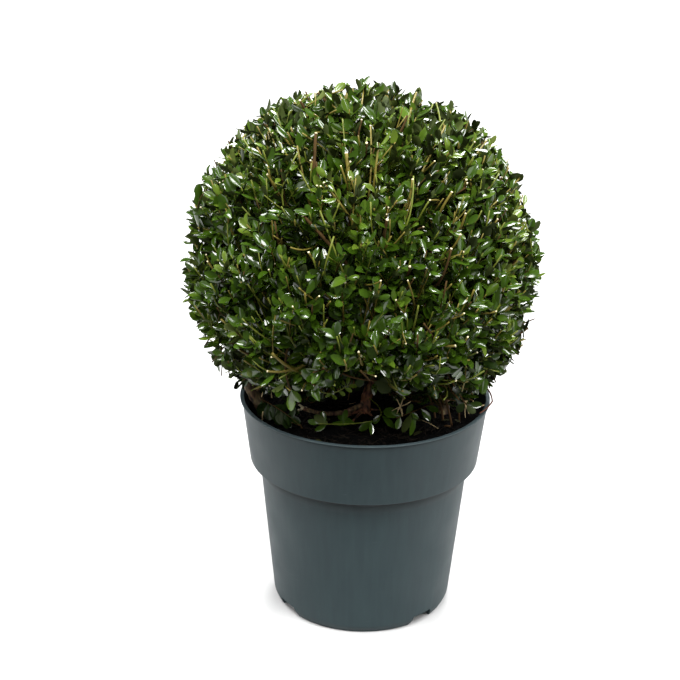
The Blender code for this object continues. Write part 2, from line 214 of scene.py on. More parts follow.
def around(angle: Array, distance: Array | float, height: Array | float) -> Array:
    """Points by their angle from +X in radians, their distance from the axis and their height."""
    places = np.broadcast_arrays(distance * np.cos(angle), distance * np.sin(angle), height)
    return np.stack(places, axis=-1)


def fibonacci(count: int) -> Array:
    """Directions spread evenly over a ball by the golden angle, from its top down.

    Args:
        count: How many.

    Returns:
        Unit vectors, one in each row.
    """
    index = np.arange(count)
    height = 1.0 - 2.0 * (index + 0.5) / count
    return around(index * GOLDEN_ANGLE, np.sqrt(1.0 - height * height), height)


def nearest(places: Array, wanted: Array) -> Array:
    """The row of the place that is nearest to each wanted point."""
    return np.argmin(np.linalg.norm(wanted[..., None, :] - places, axis=-1), axis=-1)


def lattice_noise(points: Array, grain: float, seed: int) -> Array:
    """Smooth seeded noise in space.

    Args:
        points: Points, along the last axis.
        grain: The size of one lump, in the points' unit.
        seed: Which noise.

    Returns:
        One value for each point, from -1 to 1.
    """
    table = np.random.default_rng(seed).uniform(-1.0, 1.0, NOISE_VALUES)
    scaled = points / grain + NOISE_SHIFT
    cell = np.floor(scaled).astype(np.int64)
    share = scaled - cell
    share = share * share * (3.0 - 2.0 * share)
    total = np.zeros(points.shape[:-1])
    for corner in range(8):
        step = np.array((corner & 1, corner >> 1 & 1, corner >> 2))
        keys = (cell + step) * CELL_PRIMES
        mixed = keys[..., 0] ^ keys[..., 1] ^ keys[..., 2]
        weight = np.prod(np.where(step == 1, share, 1.0 - share), axis=-1)
        total += table[mixed % NOISE_VALUES] * weight
    return total


def gnarled(grain: float, depth: float, seed: int) -> Relief:
    """The relief of a limb's skin, by the size and the height of its lumps in millimetres."""
    return lambda points, _: lattice_noise(points, grain * MM, seed) * depth * MM


# Pieces, limbs and leaves


class Piece:
    """One piece of the plant, gathered from vertices and triangles and then made as one object."""

    def __init__(self, name: str, slot: Slot, *replaced: str) -> None:
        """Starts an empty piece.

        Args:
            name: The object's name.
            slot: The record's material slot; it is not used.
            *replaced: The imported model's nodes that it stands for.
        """
        self.name = name
        self.slot = slot
        self.replaced = replaced
        self.vertices: list[Array] = []
        self.faces: list[Array] = []
        self.finishes: list[Array] = []
        self.count = 0

    def add(self, vertices: Array, faces: Array, finish: int = 0) -> None:
        """Adds a mesh.

        Args:
            vertices: Its points, as rows of three.
            faces: Its triangles, as rows of three vertex numbers.
            finish: Which of the piece's materials it has.
        """
        self.vertices.append(vertices.reshape(-1, 3))
        self.faces.append(faces.reshape(-1, 3) + self.count)
        self.finishes.append(np.full(faces.size // 3, finish))
        self.count += vertices.size // 3

    def add_leaves(self, leaves: "Leaves") -> None:
        """Adds leaves, whose upper sides have the piece's first material and whose lower sides its second.

        Args:
            leaves: The leaves.
        """
        upper, lower, faces = leaves.sheets()
        self.add(upper, faces, 0)
        self.add(lower, faces[..., ::-1], 1)

    def make(self, *materials: bpy.types.Material, sharp_deg: float | None = None) -> None:
        """Makes the object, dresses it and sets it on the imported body.

        Args:
            *materials: Its materials in order.
            sharp_deg: Edges that fold by more than this stay sharp.
        """
        points = np.concatenate(self.vertices).astype(np.float32)
        faces = np.concatenate(self.faces).astype(np.int32)
        mesh = bpy.data.meshes.new(self.name)
        mesh.vertices.add(len(points))
        mesh.vertices.foreach_set("co", points.ravel())
        mesh.loops.add(faces.size)
        mesh.loops.foreach_set("vertex_index", faces.ravel())
        mesh.polygons.add(len(faces))
        mesh.polygons.foreach_set("loop_start", np.arange(0, faces.size, 3, dtype=np.int32))
        for material in materials:
            mesh.materials.append(material)
        mesh.polygons.foreach_set("material_index", np.concatenate(self.finishes).astype(np.int32))
        mesh.update(calc_edges=True)
        mesh.validate()
        settle(linked(self.name, mesh), self.replaced, sharp_deg)


def linked(name: str, mesh: bpy.types.Mesh) -> bpy.types.Object:
    """A new object of a mesh, in the scene."""
    made = bpy.data.objects.new(name, mesh)
    bpy.context.scene.collection.objects.link(made)
    return made


def settle(piece: bpy.types.Object, replaced: tuple[str, ...], sharp_deg: float | None) -> None:
    """Shades a piece smooth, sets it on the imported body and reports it.

    Args:
        piece: The new object.
        replaced: The nodes that it stands for.
        sharp_deg: Edges that fold by more than this stay sharp.
    """
    piece.data.shade_smooth()
    if sharp_deg is not None:
        piece.data.set_sharp_from_angle(angle=math.radians(sharp_deg))
    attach(piece, BODY)
    if replaced:
        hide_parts(*replaced)
    LOG.info("%s: %d faces", piece.name, len(piece.data.polygons))


@dataclass
class Limbs:
    """Many limbs at once, each a tapering quadratic curve, with one row for each limb."""

    start: Array
    control: Array
    end: Array
    low_radius: Array
    high_radius: Array

    def __len__(self) -> int:
        """How many limbs there are."""
        return len(self.start)

    def chosen(self, rows: Array | slice) -> "Limbs":
        """Only the limbs of those rows."""
        return Limbs(*(part[rows] for part in vars(self).values()))

    def joined(self, other: "Limbs") -> "Limbs":
        """These limbs, followed by the others."""
        return Limbs(*(np.concatenate(pair) for pair in zip(vars(self).values(), vars(other).values())))

    def points(self, shares: Array) -> Array:
        """The limbs' centres.

        Args:
            shares: Shares of the length, as one row for each limb or as one list for all.

        Returns:
            The points, by limb and by share.
        """
        share = np.broadcast_to(shares, (len(self), shares.shape[-1]))[..., None]
        left = 1.0 - share
        parts = (self.start[:, None], self.control[:, None], self.end[:, None])
        return parts[0] * left**2 + parts[1] * (2.0 * left * share) + parts[2] * share**2

    def ways(self, shares: Array) -> Array:
        """The limbs' directions of growth.

        Args:
            shares: Shares of the length, as in points.

        Returns:
            Unit vectors, by limb and by share.
        """
        share = np.broadcast_to(shares, (len(self), shares.shape[-1]))[..., None]
        first = (self.control - self.start)[:, None]
        last = (self.end - self.control)[:, None]
        return unit(first * (1.0 - share) + last * share)

    def radii(self, shares: Array) -> Array:
        """The limbs' radii, by limb and by share, for shares of the length as in points."""
        share = np.broadcast_to(shares, (len(self), shares.shape[-1]))
        return self.low_radius[:, None] + (self.high_radius - self.low_radius)[:, None] * share

    def places(self, first: float, count: int) -> Array:
        """Points along all the limbs, from a share of their length to their tips, as one list."""
        return self.points(np.linspace(first, 1.0, count)).reshape(-1, 3)

    def tubes(self, rings: int, sides: int, swell: Relief | None = None) -> tuple[Array, Array]:
        """The limbs as closed tubes.

        Args:
            rings: Rings of vertices along each limb.
            sides: Vertices in each ring.
            swell: How far each vertex stands out of the plain tube, from its place and its ring's share.

        Returns:
            Vertices and triangles.
        """
        shares = np.linspace(0.0, 1.0, rings)
        ways = self.ways(shares)
        side = squared(square_to(ways[:, :1]), ways)
        across = np.cross(ways, side)
        angles = (np.arange(sides) * (FULL_TURN / sides))[:, None]
        outward = side[:, :, None] * np.cos(angles) + across[:, :, None] * np.sin(angles)
        radii = self.radii(shares)[:, :, None, None]
        centres = self.points(shares)[:, :, None]
        if swell is not None:
            radii = radii + swell(centres + outward * radii, shares[None, :, None])[..., None]
        ring_points = centres + outward * radii
        ends = np.stack((self.start, self.end), axis=1)
        vertices = np.concatenate((ring_points.reshape(len(self), -1, 3), ends), axis=1)
        return vertices, repeated(tube_faces(rings, sides), len(self), vertices.shape[1])


def one_limb(start: Array, bend: Array, tip: Array, low_radius: float, high_radius: float) -> Limbs:
    """A single limb, from three points and its two radii."""
    return Limbs(*(np.array([part]) for part in (start, bend, tip, low_radius, high_radius)))


def tube_faces(rings: int, sides: int) -> Array:
    """The triangles of one closed tube, whose last two vertices are the middles of its ends.

    Args:
        rings: Rings of vertices along the tube.
        sides: Vertices in each ring.

    Returns:
        The triangles, as rows of three vertex numbers.
    """
    index = np.arange(sides)
    after = (index + 1) % sides
    faces = []
    for ring in range(rings - 1):
        low, high = ring * sides, (ring + 1) * sides
        faces.append(np.stack((low + index, low + after, high + after), axis=1))
        faces.append(np.stack((low + index, high + after, high + index), axis=1))
    foot, tip = rings * sides, rings * sides + 1
    last = (rings - 1) * sides
    faces.append(np.stack((after, index, np.full(sides, foot)), axis=1))
    faces.append(np.stack((last + index, last + after, np.full(sides, tip)), axis=1))
    return np.concatenate(faces)


def repeated(faces: Array, count: int, stride: int) -> Array:
    """One mesh's faces for count meshes, whose vertices follow each other stride apart."""
    return faces[None] + (np.arange(count) * stride)[:, None, None]


def end_caps(limbs: Limbs, depth: float) -> tuple[Array, Array]:
    """Low domes over the limbs' tips, for cut ends.

    Args:
        limbs: The limbs.
        depth: How far each dome reaches over the end and past it.

    Returns:
        Vertices and triangles.
    """
    way = limbs.ways(np.ones(1))[:, 0] * depth
    radius = limbs.high_radius
    return Limbs(limbs.end - way, limbs.end, limbs.end + way, radius, radius * 0.8).tubes(3, 10)


# Stations along a leaf: share of its length, and half its width there as a share of the widest. The short
# narrow start is the leaf stalk.
LEAF_STATIONS = np.array((0.12, 0.37, 0.66, 0.91))
LEAF_HALF_WIDTHS = np.array((0.18, 0.82, 0.99, 0.58))
LEAF_THICKNESS = 0.22 * MM


@dataclass
class Leaves:
    """Many leaves at once, with one row for each leaf.

    The heading runs from the stalk to the tip and the face is the way the upper side looks. The fold
    raises the margins above the midrib, and the droop lowers the tip, both as shares.
    """

    base: Array
    heading: Array
    face: Array
    length: Array
    width: Array
    fold: Array
    droop: Array

    def __len__(self) -> int:
        """How many leaves there are."""
        return len(self.base)

    def chosen(self, rows: Array) -> "Leaves":
        """Only the leaves of those rows."""
        return Leaves(*(part[rows] for part in vars(self).values()))

    def at(self, along: Array, aside: Array, above: Array) -> Array:
        """Points on the leaves.

        Args:
            along: Shares of the length.
            aside: Shares of half the width, negative to the left.
            above: Heights over the upper side, in metres.

        Returns:
            The points, by leaf and by share.
        """
        across = unit(np.cross(self.heading, self.face))[:, None]
        heading, face = self.heading[:, None], self.face[:, None]
        length, half = self.length[:, None], self.width[:, None] / 2.0
        rise = np.abs(aside) * half * self.fold[:, None] - self.droop[:, None] * length * along**2 + above
        middle = self.base[:, None] + heading * (along * length)[..., None]
        return middle + across * (aside * half)[..., None] + face * rise[..., None]

    def sheets(self) -> tuple[Array, Array, Array]:
        """The upper and the lower side of each leaf, which meet at its margin.

        Returns:
            Upper vertices, lower vertices, and the triangles of the upper side; those of the lower side
            are the same, turned over.
        """
        along = np.concatenate(((0.0,), np.repeat(LEAF_STATIONS, 3), (1.0,)))
        widths = np.stack((-LEAF_HALF_WIDTHS, 0.0 * LEAF_HALF_WIDTHS, LEAF_HALF_WIDTHS), axis=1)
        aside = np.concatenate(((0.0,), widths.ravel(), (0.0,)))
        ribs = np.concatenate(((0.0,), np.tile((0.0, 1.0, 0.0), len(LEAF_STATIONS)), (0.0,)))
        upper = self.at(along[None], aside[None], np.zeros(1))
        lower = self.at(along[None], aside[None], -ribs[None] * LEAF_THICKNESS)
        return upper, lower, repeated(self.face_list(), len(self), len(along))

    @staticmethod
    def face_list() -> Array:
        """The triangles of one side.

        Returns:
            Sixteen rows of three vertex numbers.
        """
        faces = [(0, 2, 1), (0, 3, 2)]
        for station in range(len(LEAF_STATIONS) - 1):
            low, high = 1 + 3 * station, 4 + 3 * station
            for side in (0, 1):
                faces.append((low + side, low + side + 1, high + side + 1))
                faces.append((low + side, high + side + 1, high + side))
        last, tip = 3 * len(LEAF_STATIONS) - 2, 3 * len(LEAF_STATIONS) + 1
        faces += [(last, last + 1, tip), (last + 1, last + 2, tip)]
        return np.array(faces)


# Finishes


@dataclass(frozen=True)
class LeafFinish:
    """A living holly leaf: a waxy cuticle over green above, and a matt, paler side below."""

    name: str
    upper: str
    under: str
    gloss: float = 0.17
    ior: float = 1.48
    under_roughness: float = 0.7
    under_ior: float = 1.3

    def materials(self) -> tuple[bpy.types.Material, bpy.types.Material]:
        """The leaf's materials. The cuticle throws streaks of light, and the underside stays dull.

        Returns:
            The upper side's and the lower side's material.
        """
        cuticle = plain_material(f"{self.name}_leaf_cuticle", self.upper, self.gloss, self.ior)
        dull = (self.under, self.under_roughness, self.under_ior)
        return cuticle, plain_material(f"{self.name}_leaf_underside", *dull)


@dataclass(frozen=True)
class ShootFinish:
    """The skin or the cut wood of a thin shoot: one colour, because it is under two millimetres thick."""

    name: str
    skin: str
    roughness: float = 0.5
    ior: float = 1.32

    def material(self) -> bpy.types.Material:
        """The shoot's material: a soft waxy sheen where it is smooth, and none where it is rough."""
        return plain_material(self.name, self.skin, self.roughness, self.ior)


@dataclass(frozen=True)
class BarkFinish:
    """Rough bark on living wood: matt ridges and plates, with dark cracks between them."""

    name: str
    crack: str
    plate: str
    weathered: str
    roughness: float = 0.86

    def material(self) -> bpy.types.Material:
        """The bark's material, which the eye knows by its cracks and by having no shine.

        Its plates are about 4 mm across, its paler patches 11 mm and its grain 0.8 mm.

        Returns:
            The material.
        """
        made, tree, shader = new_material(self.name)
        place = add_node(tree, "ShaderNodeTexCoord").outputs["Object"]
        stretched = add_node(tree, "ShaderNodeMapping", Vector=place, Scale=(1.0, 1.0, 0.35)).outputs[0]
        noise = "ShaderNodeTexNoise"
        plates, patches, grain = (
            add_node(tree, noise, Vector=vector, Scale=1.0 / (size * MM), Detail=detail).outputs
            for vector, size, detail in ((stretched, 4.0, 5.0), (place, 11.0, 2.0), (stretched, 0.8, 3.0))
        )
        ramp = add_node(tree, "ShaderNodeValToRGB", Fac=plates["Fac"])
        colour = fill_ramp(ramp, [(0.36, self.crack), (0.56, self.plate), (0.72, self.weathered)])
        multiply = {"data_type": "RGBA", "blend_type": "MULTIPLY"}
        mixed = add_node(tree, "ShaderNodeMix", multiply, Factor=0.55, in_6=colour, in_7=patches["Color"])
        deep = add_node(tree, "ShaderNodeBump", Strength=0.8, Distance=0.7 * MM, Height=plates["Fac"])
        fine = add_node(tree, "ShaderNodeBump", Strength=0.5, Distance=0.2 * MM, Height=grain["Fac"])
        fill_inputs(tree, fine, Normal=deep.outputs["Normal"])
        fill_inputs(tree, shader, Base_Color=mixed.outputs[2], Normal=fine.outputs["Normal"])
        fill_inputs(tree, shader, Roughness=self.roughness)
        return made


@dataclass(frozen=True)
class PolypropyleneFinish:
    """Injection-moulded polypropylene in blue-grey: satin, with a fine orange peel, rubbed places, painted
    highlight lines and painted shade.

    The edges and the corners are stops up the wall, each a height in millimetres: the edges with how much
    painted highlight is there, the corners with how much painted shade, from black for none to white for
    all.
    """

    name: str = "moulded_polypropylene"
    body: str = "#202d30"
    flow: str = "#253436"
    # The pale colour of the scratch wear, which also paints the highlight lines along the edges.
    wear_and_highlight: str = "#4b5457"
    # The colour of the painted shade in the corners under the band and the lip.
    corner_shade: str = "#06090a"
    roughness: float = 0.50
    # How much rougher the corners with painted shade are made.
    shaded_corner_roughness: float = 0.4
    ior: float = 1.49
    specular: float = 0.27
    # Painted highlight lines along the band's lower edge and the lip's top, by height.
    edges: tuple[tuple[float, str], ...] = (
        (176.125, "#000000"),
        (176.625, "#777777"),
        (177.75, "#000000"),
        (248.75, "#000000"),
        (249.75, "#999999"),
    )
    # Painted shade in the corners under the band and the lip, by height.
    corners: tuple[tuple[float, str], ...] = (
        (160.0, "#000000"),
        (172.5, "#dddddd"),
        (175.875, "#ffffff"),
        (176.375, "#000000"),
        (246.0, "#000000"),
        (248.375, "#eeeeee"),
        (248.75, "#000000"),
    )

    def material(self) -> bpy.types.Material:
        """The pot's material, which the eye knows by its even satin and its pale edges, which are painted
        highlight.

        The peel is drawn at 2.5 mm, coarser than the real 0.8 mm, so that it shows. The flow lines of
        the mould run up the wall about 6 mm apart, and the scratches run round it, 1.6 mm apart, in
        clouds of about 45 mm. The corners under the band and the lip are darkened with painted shade and
        made rougher, and the edges above them are lightened with painted highlight lines in the pale colour
        of the scratches.

        Returns:
            The material.
        """
        made, tree, shader = new_material(self.name)
        place = add_node(tree, "ShaderNodeTexCoord").outputs["Object"]
        along = add_node(tree, "ShaderNodeMapping", Vector=place, Scale=(1.0, 1.0, 0.06)).outputs[0]
        round_it = add_node(tree, "ShaderNodeMapping", Vector=place, Scale=(0.12, 0.12, 1.0)).outputs[0]
        noise = "ShaderNodeTexNoise"
        flow, cloud, scratch, peel = (
            add_node(tree, noise, Vector=vector, Scale=1.0 / (size * MM), Detail=detail).outputs[0]
            for vector, size, detail in (
                (along, 6.0, 3.0),
                (place, 45.0, 3.0),
                (round_it, 1.6, 2.0),
                (place, 2.5, 2.0),
            )
        )
        bounds = ("From_Min", "From_Max", "To_Min", "To_Max")
        lines, thin, spread, sheen = (
            add_node(tree, "ShaderNodeMapRange", Value=value, **dict(zip(bounds, sizes))).outputs[0]
            for value, *sizes in (
                (flow, 0.35, 0.70, 0.0, 0.6),
                (scratch, 0.70, 0.80, 0.0, 0.5),
                (cloud, 0.50, 0.68, 0.0, 1.0),
                (cloud, 0.30, 0.70, self.roughness - 0.04, self.roughness + 0.06),
            )
        )
        operations = ("MULTIPLY", "MAXIMUM", "MULTIPLY_ADD")
        times, most, times_plus = ({"operation": operation} for operation in operations)
        worn = add_node(tree, "ShaderNodeMath", times, in_0=thin, in_1=spread).outputs[0]
        height = add_node(tree, "ShaderNodeSeparateXYZ", Vector=place).outputs["Z"]
        level = add_node(tree, "ShaderNodeMapRange", Value=height, From_Max=POT_HEIGHT).outputs["Result"]
        # The edges ramp paints highlight lines, and the corners ramp paints shade.
        edges, corners = (
            fill_ramp(
                add_node(tree, "ShaderNodeValToRGB", Fac=level),
                [(stop * MM / POT_HEIGHT, grey) for stop, grey in stops],
            )
            for stops in (self.edges, self.corners)
        )
        # Scratch wear and the painted highlight lines take the same pale colour.
        wear_and_highlight = add_node(tree, "ShaderNodeMath", most, in_0=worn, in_1=edges).outputs[0]
        colour = linear(self.body)
        # The mixes lay on the flow lines, then wear and painted highlight, then painted shade in the
        # corners.
        for share, over in ((lines, self.flow), (wear_and_highlight, self.wear_and_highlight), (corners, self.corner_shade)):
            inputs = {"Factor": share, "in_6": colour, "in_7": linear(over)}
            colour = add_node(tree, "ShaderNodeMix", {"data_type": "RGBA"}, **inputs).outputs[2]
        # The corners with painted shade are also made rougher.
        inputs = {"in_0": corners, "in_1": self.shaded_corner_roughness, "in_2": sheen}
        dulled = add_node(tree, "ShaderNodeMath", times_plus, **inputs)
        bump = add_node(tree, "ShaderNodeBump", Strength=0.25, Distance=0.08 * MM, Height=peel)
        fill_inputs(tree, shader, Base_Color=colour, Roughness=dulled.outputs["Value"])
        fill_inputs(tree, shader, Normal=bump.outputs[0], IOR=self.ior, Specular_IOR_Level=self.specular)
        return made


@dataclass(frozen=True)
class PeatFinish:
    """Damp peat compost: black-brown, matt crumbs, a little paler where they have dried."""

    name: str = "damp_peat"
    hollow: str = "#020202"
    crumb: str = "#080807"
    dry: str = "#12100e"
    roughness: float = 0.92
    ior: float = 1.15

    def material(self) -> bpy.types.Material:
        """The compost's material, which swallows the light. Its crumbs are about 2 mm, its grains 0.7 mm.

        Returns:
            The material.
        """
        made, tree, shader = new_material(self.name)
        place = add_node(tree, "ShaderNodeTexCoord").outputs["Object"]
        noise = "ShaderNodeTexNoise"
        crumbs, grains = (
            add_node(tree, noise, Vector=place, Scale=1.0 / (size * MM), Detail=detail).outputs[0]
            for size, detail in ((2.0, 6.0), (0.7, 3.0))
        )
        ramp = add_node(tree, "ShaderNodeValToRGB", Fac=crumbs)
        colour = fill_ramp(ramp, [(0.40, self.hollow), (0.60, self.crumb), (0.78, self.dry)])
        deep = add_node(tree, "ShaderNodeBump", Strength=1.0, Distance=1.2 * MM, Height=crumbs).outputs[0]
        fine = add_node(tree, "ShaderNodeBump", Strength=0.6, Distance=0.3 * MM, Height=grains, Normal=deep)
        fill_inputs(tree, shader, Base_Color=colour, Normal=fine.outputs["Normal"])
        fill_inputs(tree, shader, Roughness=self.roughness, IOR=self.ior)
        return made


class Tone(Enum):
    """The tones of leaf that sprays are dealt, from the shaded inside to the youngest tips."""

    OLD = LeafFinish("old", "#1a290a", "#222b12", 0.30, 1.27)
    DEEP = LeafFinish("deep", "#203006", "#313b1a", 0.17)
    MATURE = LeafFinish("mature", "#2a4009", "#39441d", 0.16)
    MID = LeafFinish("mid", "#324910", "#424e21", 0.16)
    BRIGHT = LeafFinish("bright", "#405615", "#4d5a28", 0.17)
    FRESH = LeafFinish("fresh", "#54681f", "#606d30", 0.20)


class Skin(Enum):
    """The skins that shoots are dealt: green when young, tan as they ripen, brown on old twigs."""

    GREEN = ShootFinish("green_shoot_skin", "#5d651f")
    TAN = ShootFinish("tan_shoot_skin", "#6a6026")
    BROWN = ShootFinish("brown_twig_bark", "#402f15", 0.85, 1.25)


CUT_WOOD = ShootFinish("cut_sapwood", "#e6dab4", 0.7)
STRAW = ShootFinish("dry_straw_stalks", "#c0ab80", 0.7)
ROOT_FIBRE = ShootFinish("dry_root_fibre", "#1d1812", 0.9, 1.2)
BARK_CHIP = ShootFinish("composted_bark_chip", "#120d0a", 0.9, 1.2)
RED_TWIG = ShootFinish("dead_red_brown_twigs", "#4a2a1c", 0.8, 1.3)
BROWN_TWIG = ShootFinish("dead_grey_brown_twigs", "#5c452b", 0.85, 1.3)
FALLEN_LEAF = LeafFinish("fallen", "#2b2c14", "#3f3b24", 0.5, 1.3)
GREY_BARK = BarkFinish("grey_brown_bark", "#221a12", "#6c563b", "#917b58")
TAN_BARK = BarkFinish("tan_brown_bark", "#362719", "#866b4a", "#a48962")
RED_BARK = BarkFinish("red_brown_bark", "#26170f", "#85573b", "#ab855c")


# The pot


def closed_mesh(bm: bmesh.types.BMesh, name: str) -> bpy.types.Mesh:
    """Turns the faces of a closed form outward and makes a mesh of it, which uses the form up."""
    bmesh.ops.recalc_face_normals(bm, faces=bm.faces)
    mesh = bpy.data.meshes.new(name)
    bm.to_mesh(mesh)
    bm.free()
    return mesh


@dataclass
class DrainChannels:
    """Four channels under the pot's base that open in notches at its foot, two of them to the front."""

    axis_deg: float = -5.75
    spread_deg: float = 49.25
    start: float = 47.0 * MM
    height: float = 11.5 * MM
    foot_width: float = 36.0 * MM
    roof_width: float = 26.0 * MM
    roof_end: float = 90.5 * MM
    roof_side: float = 2.5 * MM

    def bars(self, name: str, grow: float, top: float, end: float, bottom: float) -> bpy.types.Object:
        """Four radial bars with sloping sides, as one helper object.

        Args:
            name: The helper's name.
            grow: How far each bar stands out of the channel's own sides and inner end.
            top: The height of the bars' roofs.
            end: How far out the bars run.
            bottom: The height of their undersides.

        Returns:
            The helper, linked to the scene.
        """
        bm = bmesh.new()
        levels = ((bottom, self.foot_width + 2.0 * grow), (top, self.roof_width + 2.0 * grow))
        for opposite in (0.0, 180.0):
            for side in (-1.0, 1.0):
                angle_deg = self.axis_deg + side * self.spread_deg + opposite
                turn = Matrix.Rotation(math.radians(angle_deg), 4, "Z")
                corners = [
                    bm.verts.new(turn @ Vector((hand * width / 2.0, -distance, height)))
                    for distance in (self.start - grow, end)
                    for height, width in levels
                    for hand in (-1.0, 1.0)
                ]
                for box_side in BOX_SIDES:
                    bm.faces.new([corners[index] for index in box_side])
        return linked(name, closed_mesh(bm, name))


@dataclass
class NurseryPot:
    """The moulded shell: a lip, a deep band, a sloping shoulder, a tapered body and a foot.

    Places on its outside are given as radius and height.
    """

    height: float = POT_HEIGHT
    rim_radius: float = 140.0 * MM
    lip_depth: float = 1.4 * MM
    lip_overhang: float = 2.0 * MM
    band_bottom: tuple[float, float] = (129.0 * MM, 176.4 * MM)
    undercut: tuple[float, float] = (120.8 * MM, 170.6 * MM)
    shoulder: tuple[float, float] = (117.2 * MM, 162.1 * MM)
    body_bottom: tuple[float, float] = (102.2 * MM, 7.7 * MM)
    foot_radius: float = 97.8 * MM
    wall: float = 2.8 * MM
    base_thickness: float = 3.0 * MM
    segments: int = 192
    round_steps: int = 4
    sharp_deg: float = 32.0

    def inner_points(self) -> list[tuple[float, float]]:
        """Radii and heights of the pot's inside, from the base up to the rim."""
        return [
            (self.foot_radius - self.wall, self.base_thickness),
            (self.body_bottom[0] - self.wall, self.body_bottom[1] + self.wall),
            (self.shoulder[0] - self.wall, self.shoulder[1] + self.wall / 2.0),
            (self.band_bottom[0] - self.wall, self.band_bottom[1] + self.wall / 2.0),
            (self.rim_radius - self.lip_overhang - self.wall, self.height - self.wall / 2.0),
        ]

    def profile(self) -> list[tuple[float, float]]:
        """The wall's closed section.

        Returns:
            Radii and heights from the middle of the underside, round the lip, to the middle of the floor.
        """
        lip_low = self.height - self.lip_depth
        band_top = self.rim_radius - self.lip_overhang
        corners = [
            (0.0, 0.0, 0.0),
            (self.foot_radius, 0.0, 1.2 * MM),
            (*self.body_bottom, 3.0 * MM),
            (*self.shoulder, 4.0 * MM),
            (*self.undercut, 3.5 * MM),
            (*self.band_bottom, 0.7 * MM),
            (band_top, lip_low, 0.2 * MM),
            (self.rim_radius, lip_low, 0.4 * MM),
            (self.rim_radius, self.height, 0.8 * MM),
            (band_top - self.wall, self.height, 1.0 * MM),
        ]
        inner = [(radius, height, 2.0 * MM) for radius, height in self.inner_points()[:-1]]
        corners += inner[::-1] + [(0.0, self.base_thickness, 0.0)]
        return [point for place in range(len(corners)) for point in self.rounded(corners, place)]

    def rounded(self, corners: list[Point], place: int) -> list[tuple[float, float]]:
        """The points that round one corner of a section.

        Args:
            corners: Radius, height and rounding of each corner.
            place: Which corner.

        Returns:
            One point, or the points of its arc.
        """
        radius, height, rounding = corners[place]
        here = Vector((radius, height))
        if rounding == 0.0:
            return [(radius, height)]
        before = Vector(corners[place - 1][:2]) - here
        after = Vector(corners[place + 1][:2]) - here
        reach = min(rounding, before.length * 0.45, after.length * 0.45)
        first, last = here + before.normalized() * reach, here + after.normalized() * reach
        steps = [step / self.round_steps for step in range(self.round_steps + 1)]
        return [tuple(first * (1 - s) ** 2 + here * (2 * s * (1 - s)) + last * s * s) for s in steps]

    def build(self) -> None:
        """Turns the shell, cuts its drainage channels and dresses it."""
        bm = bmesh.new()
        points = [bm.verts.new((radius, 0.0, height)) for radius, height in self.profile()]
        edges = [bm.edges.new(pair) for pair in zip(points, points[1:])]
        bmesh.ops.spin(
            bm,
            geom=points + edges,
            cent=(0.0, 0.0, 0.0),
            axis=(0.0, 0.0, 1.0),
            angle=FULL_TURN,
            steps=self.segments,
        )
        bmesh.ops.remove_doubles(bm, verts=bm.verts, dist=1e-6)
        pot = linked("nursery_pot", closed_mesh(bm, "nursery_pot"))
        channels = DrainChannels()
        roof = channels.height + channels.roof_side
        floor = self.base_thickness / 2.0
        roofs = channels.bars("channel_roofs", channels.roof_side, roof, channels.roof_end, floor)
        cuts = channels.bars("channel_cuts", 0.0, channels.height, self.rim_radius, -self.base_thickness)
        for operation, helper in (("UNION", roofs), ("DIFFERENCE", cuts)):
            modifier = pot.modifiers.new(helper.name, "BOOLEAN")
            modifier.operation = operation
            modifier.object = helper
            modifier.solver = "EXACT"
        bpy.context.view_layer.update()
        pot.data = bpy.data.meshes.new_from_object(pot.evaluated_get(bpy.context.evaluated_depsgraph_get()))
        pot.modifiers.clear()
        for helper in (roofs, cuts):
            bpy.data.objects.remove(helper)
        pot.data.materials.clear()
        pot.data.materials.append(PolypropyleneFinish().material())
        settle(pot, ("pot",), self.sharp_deg)


# The compost


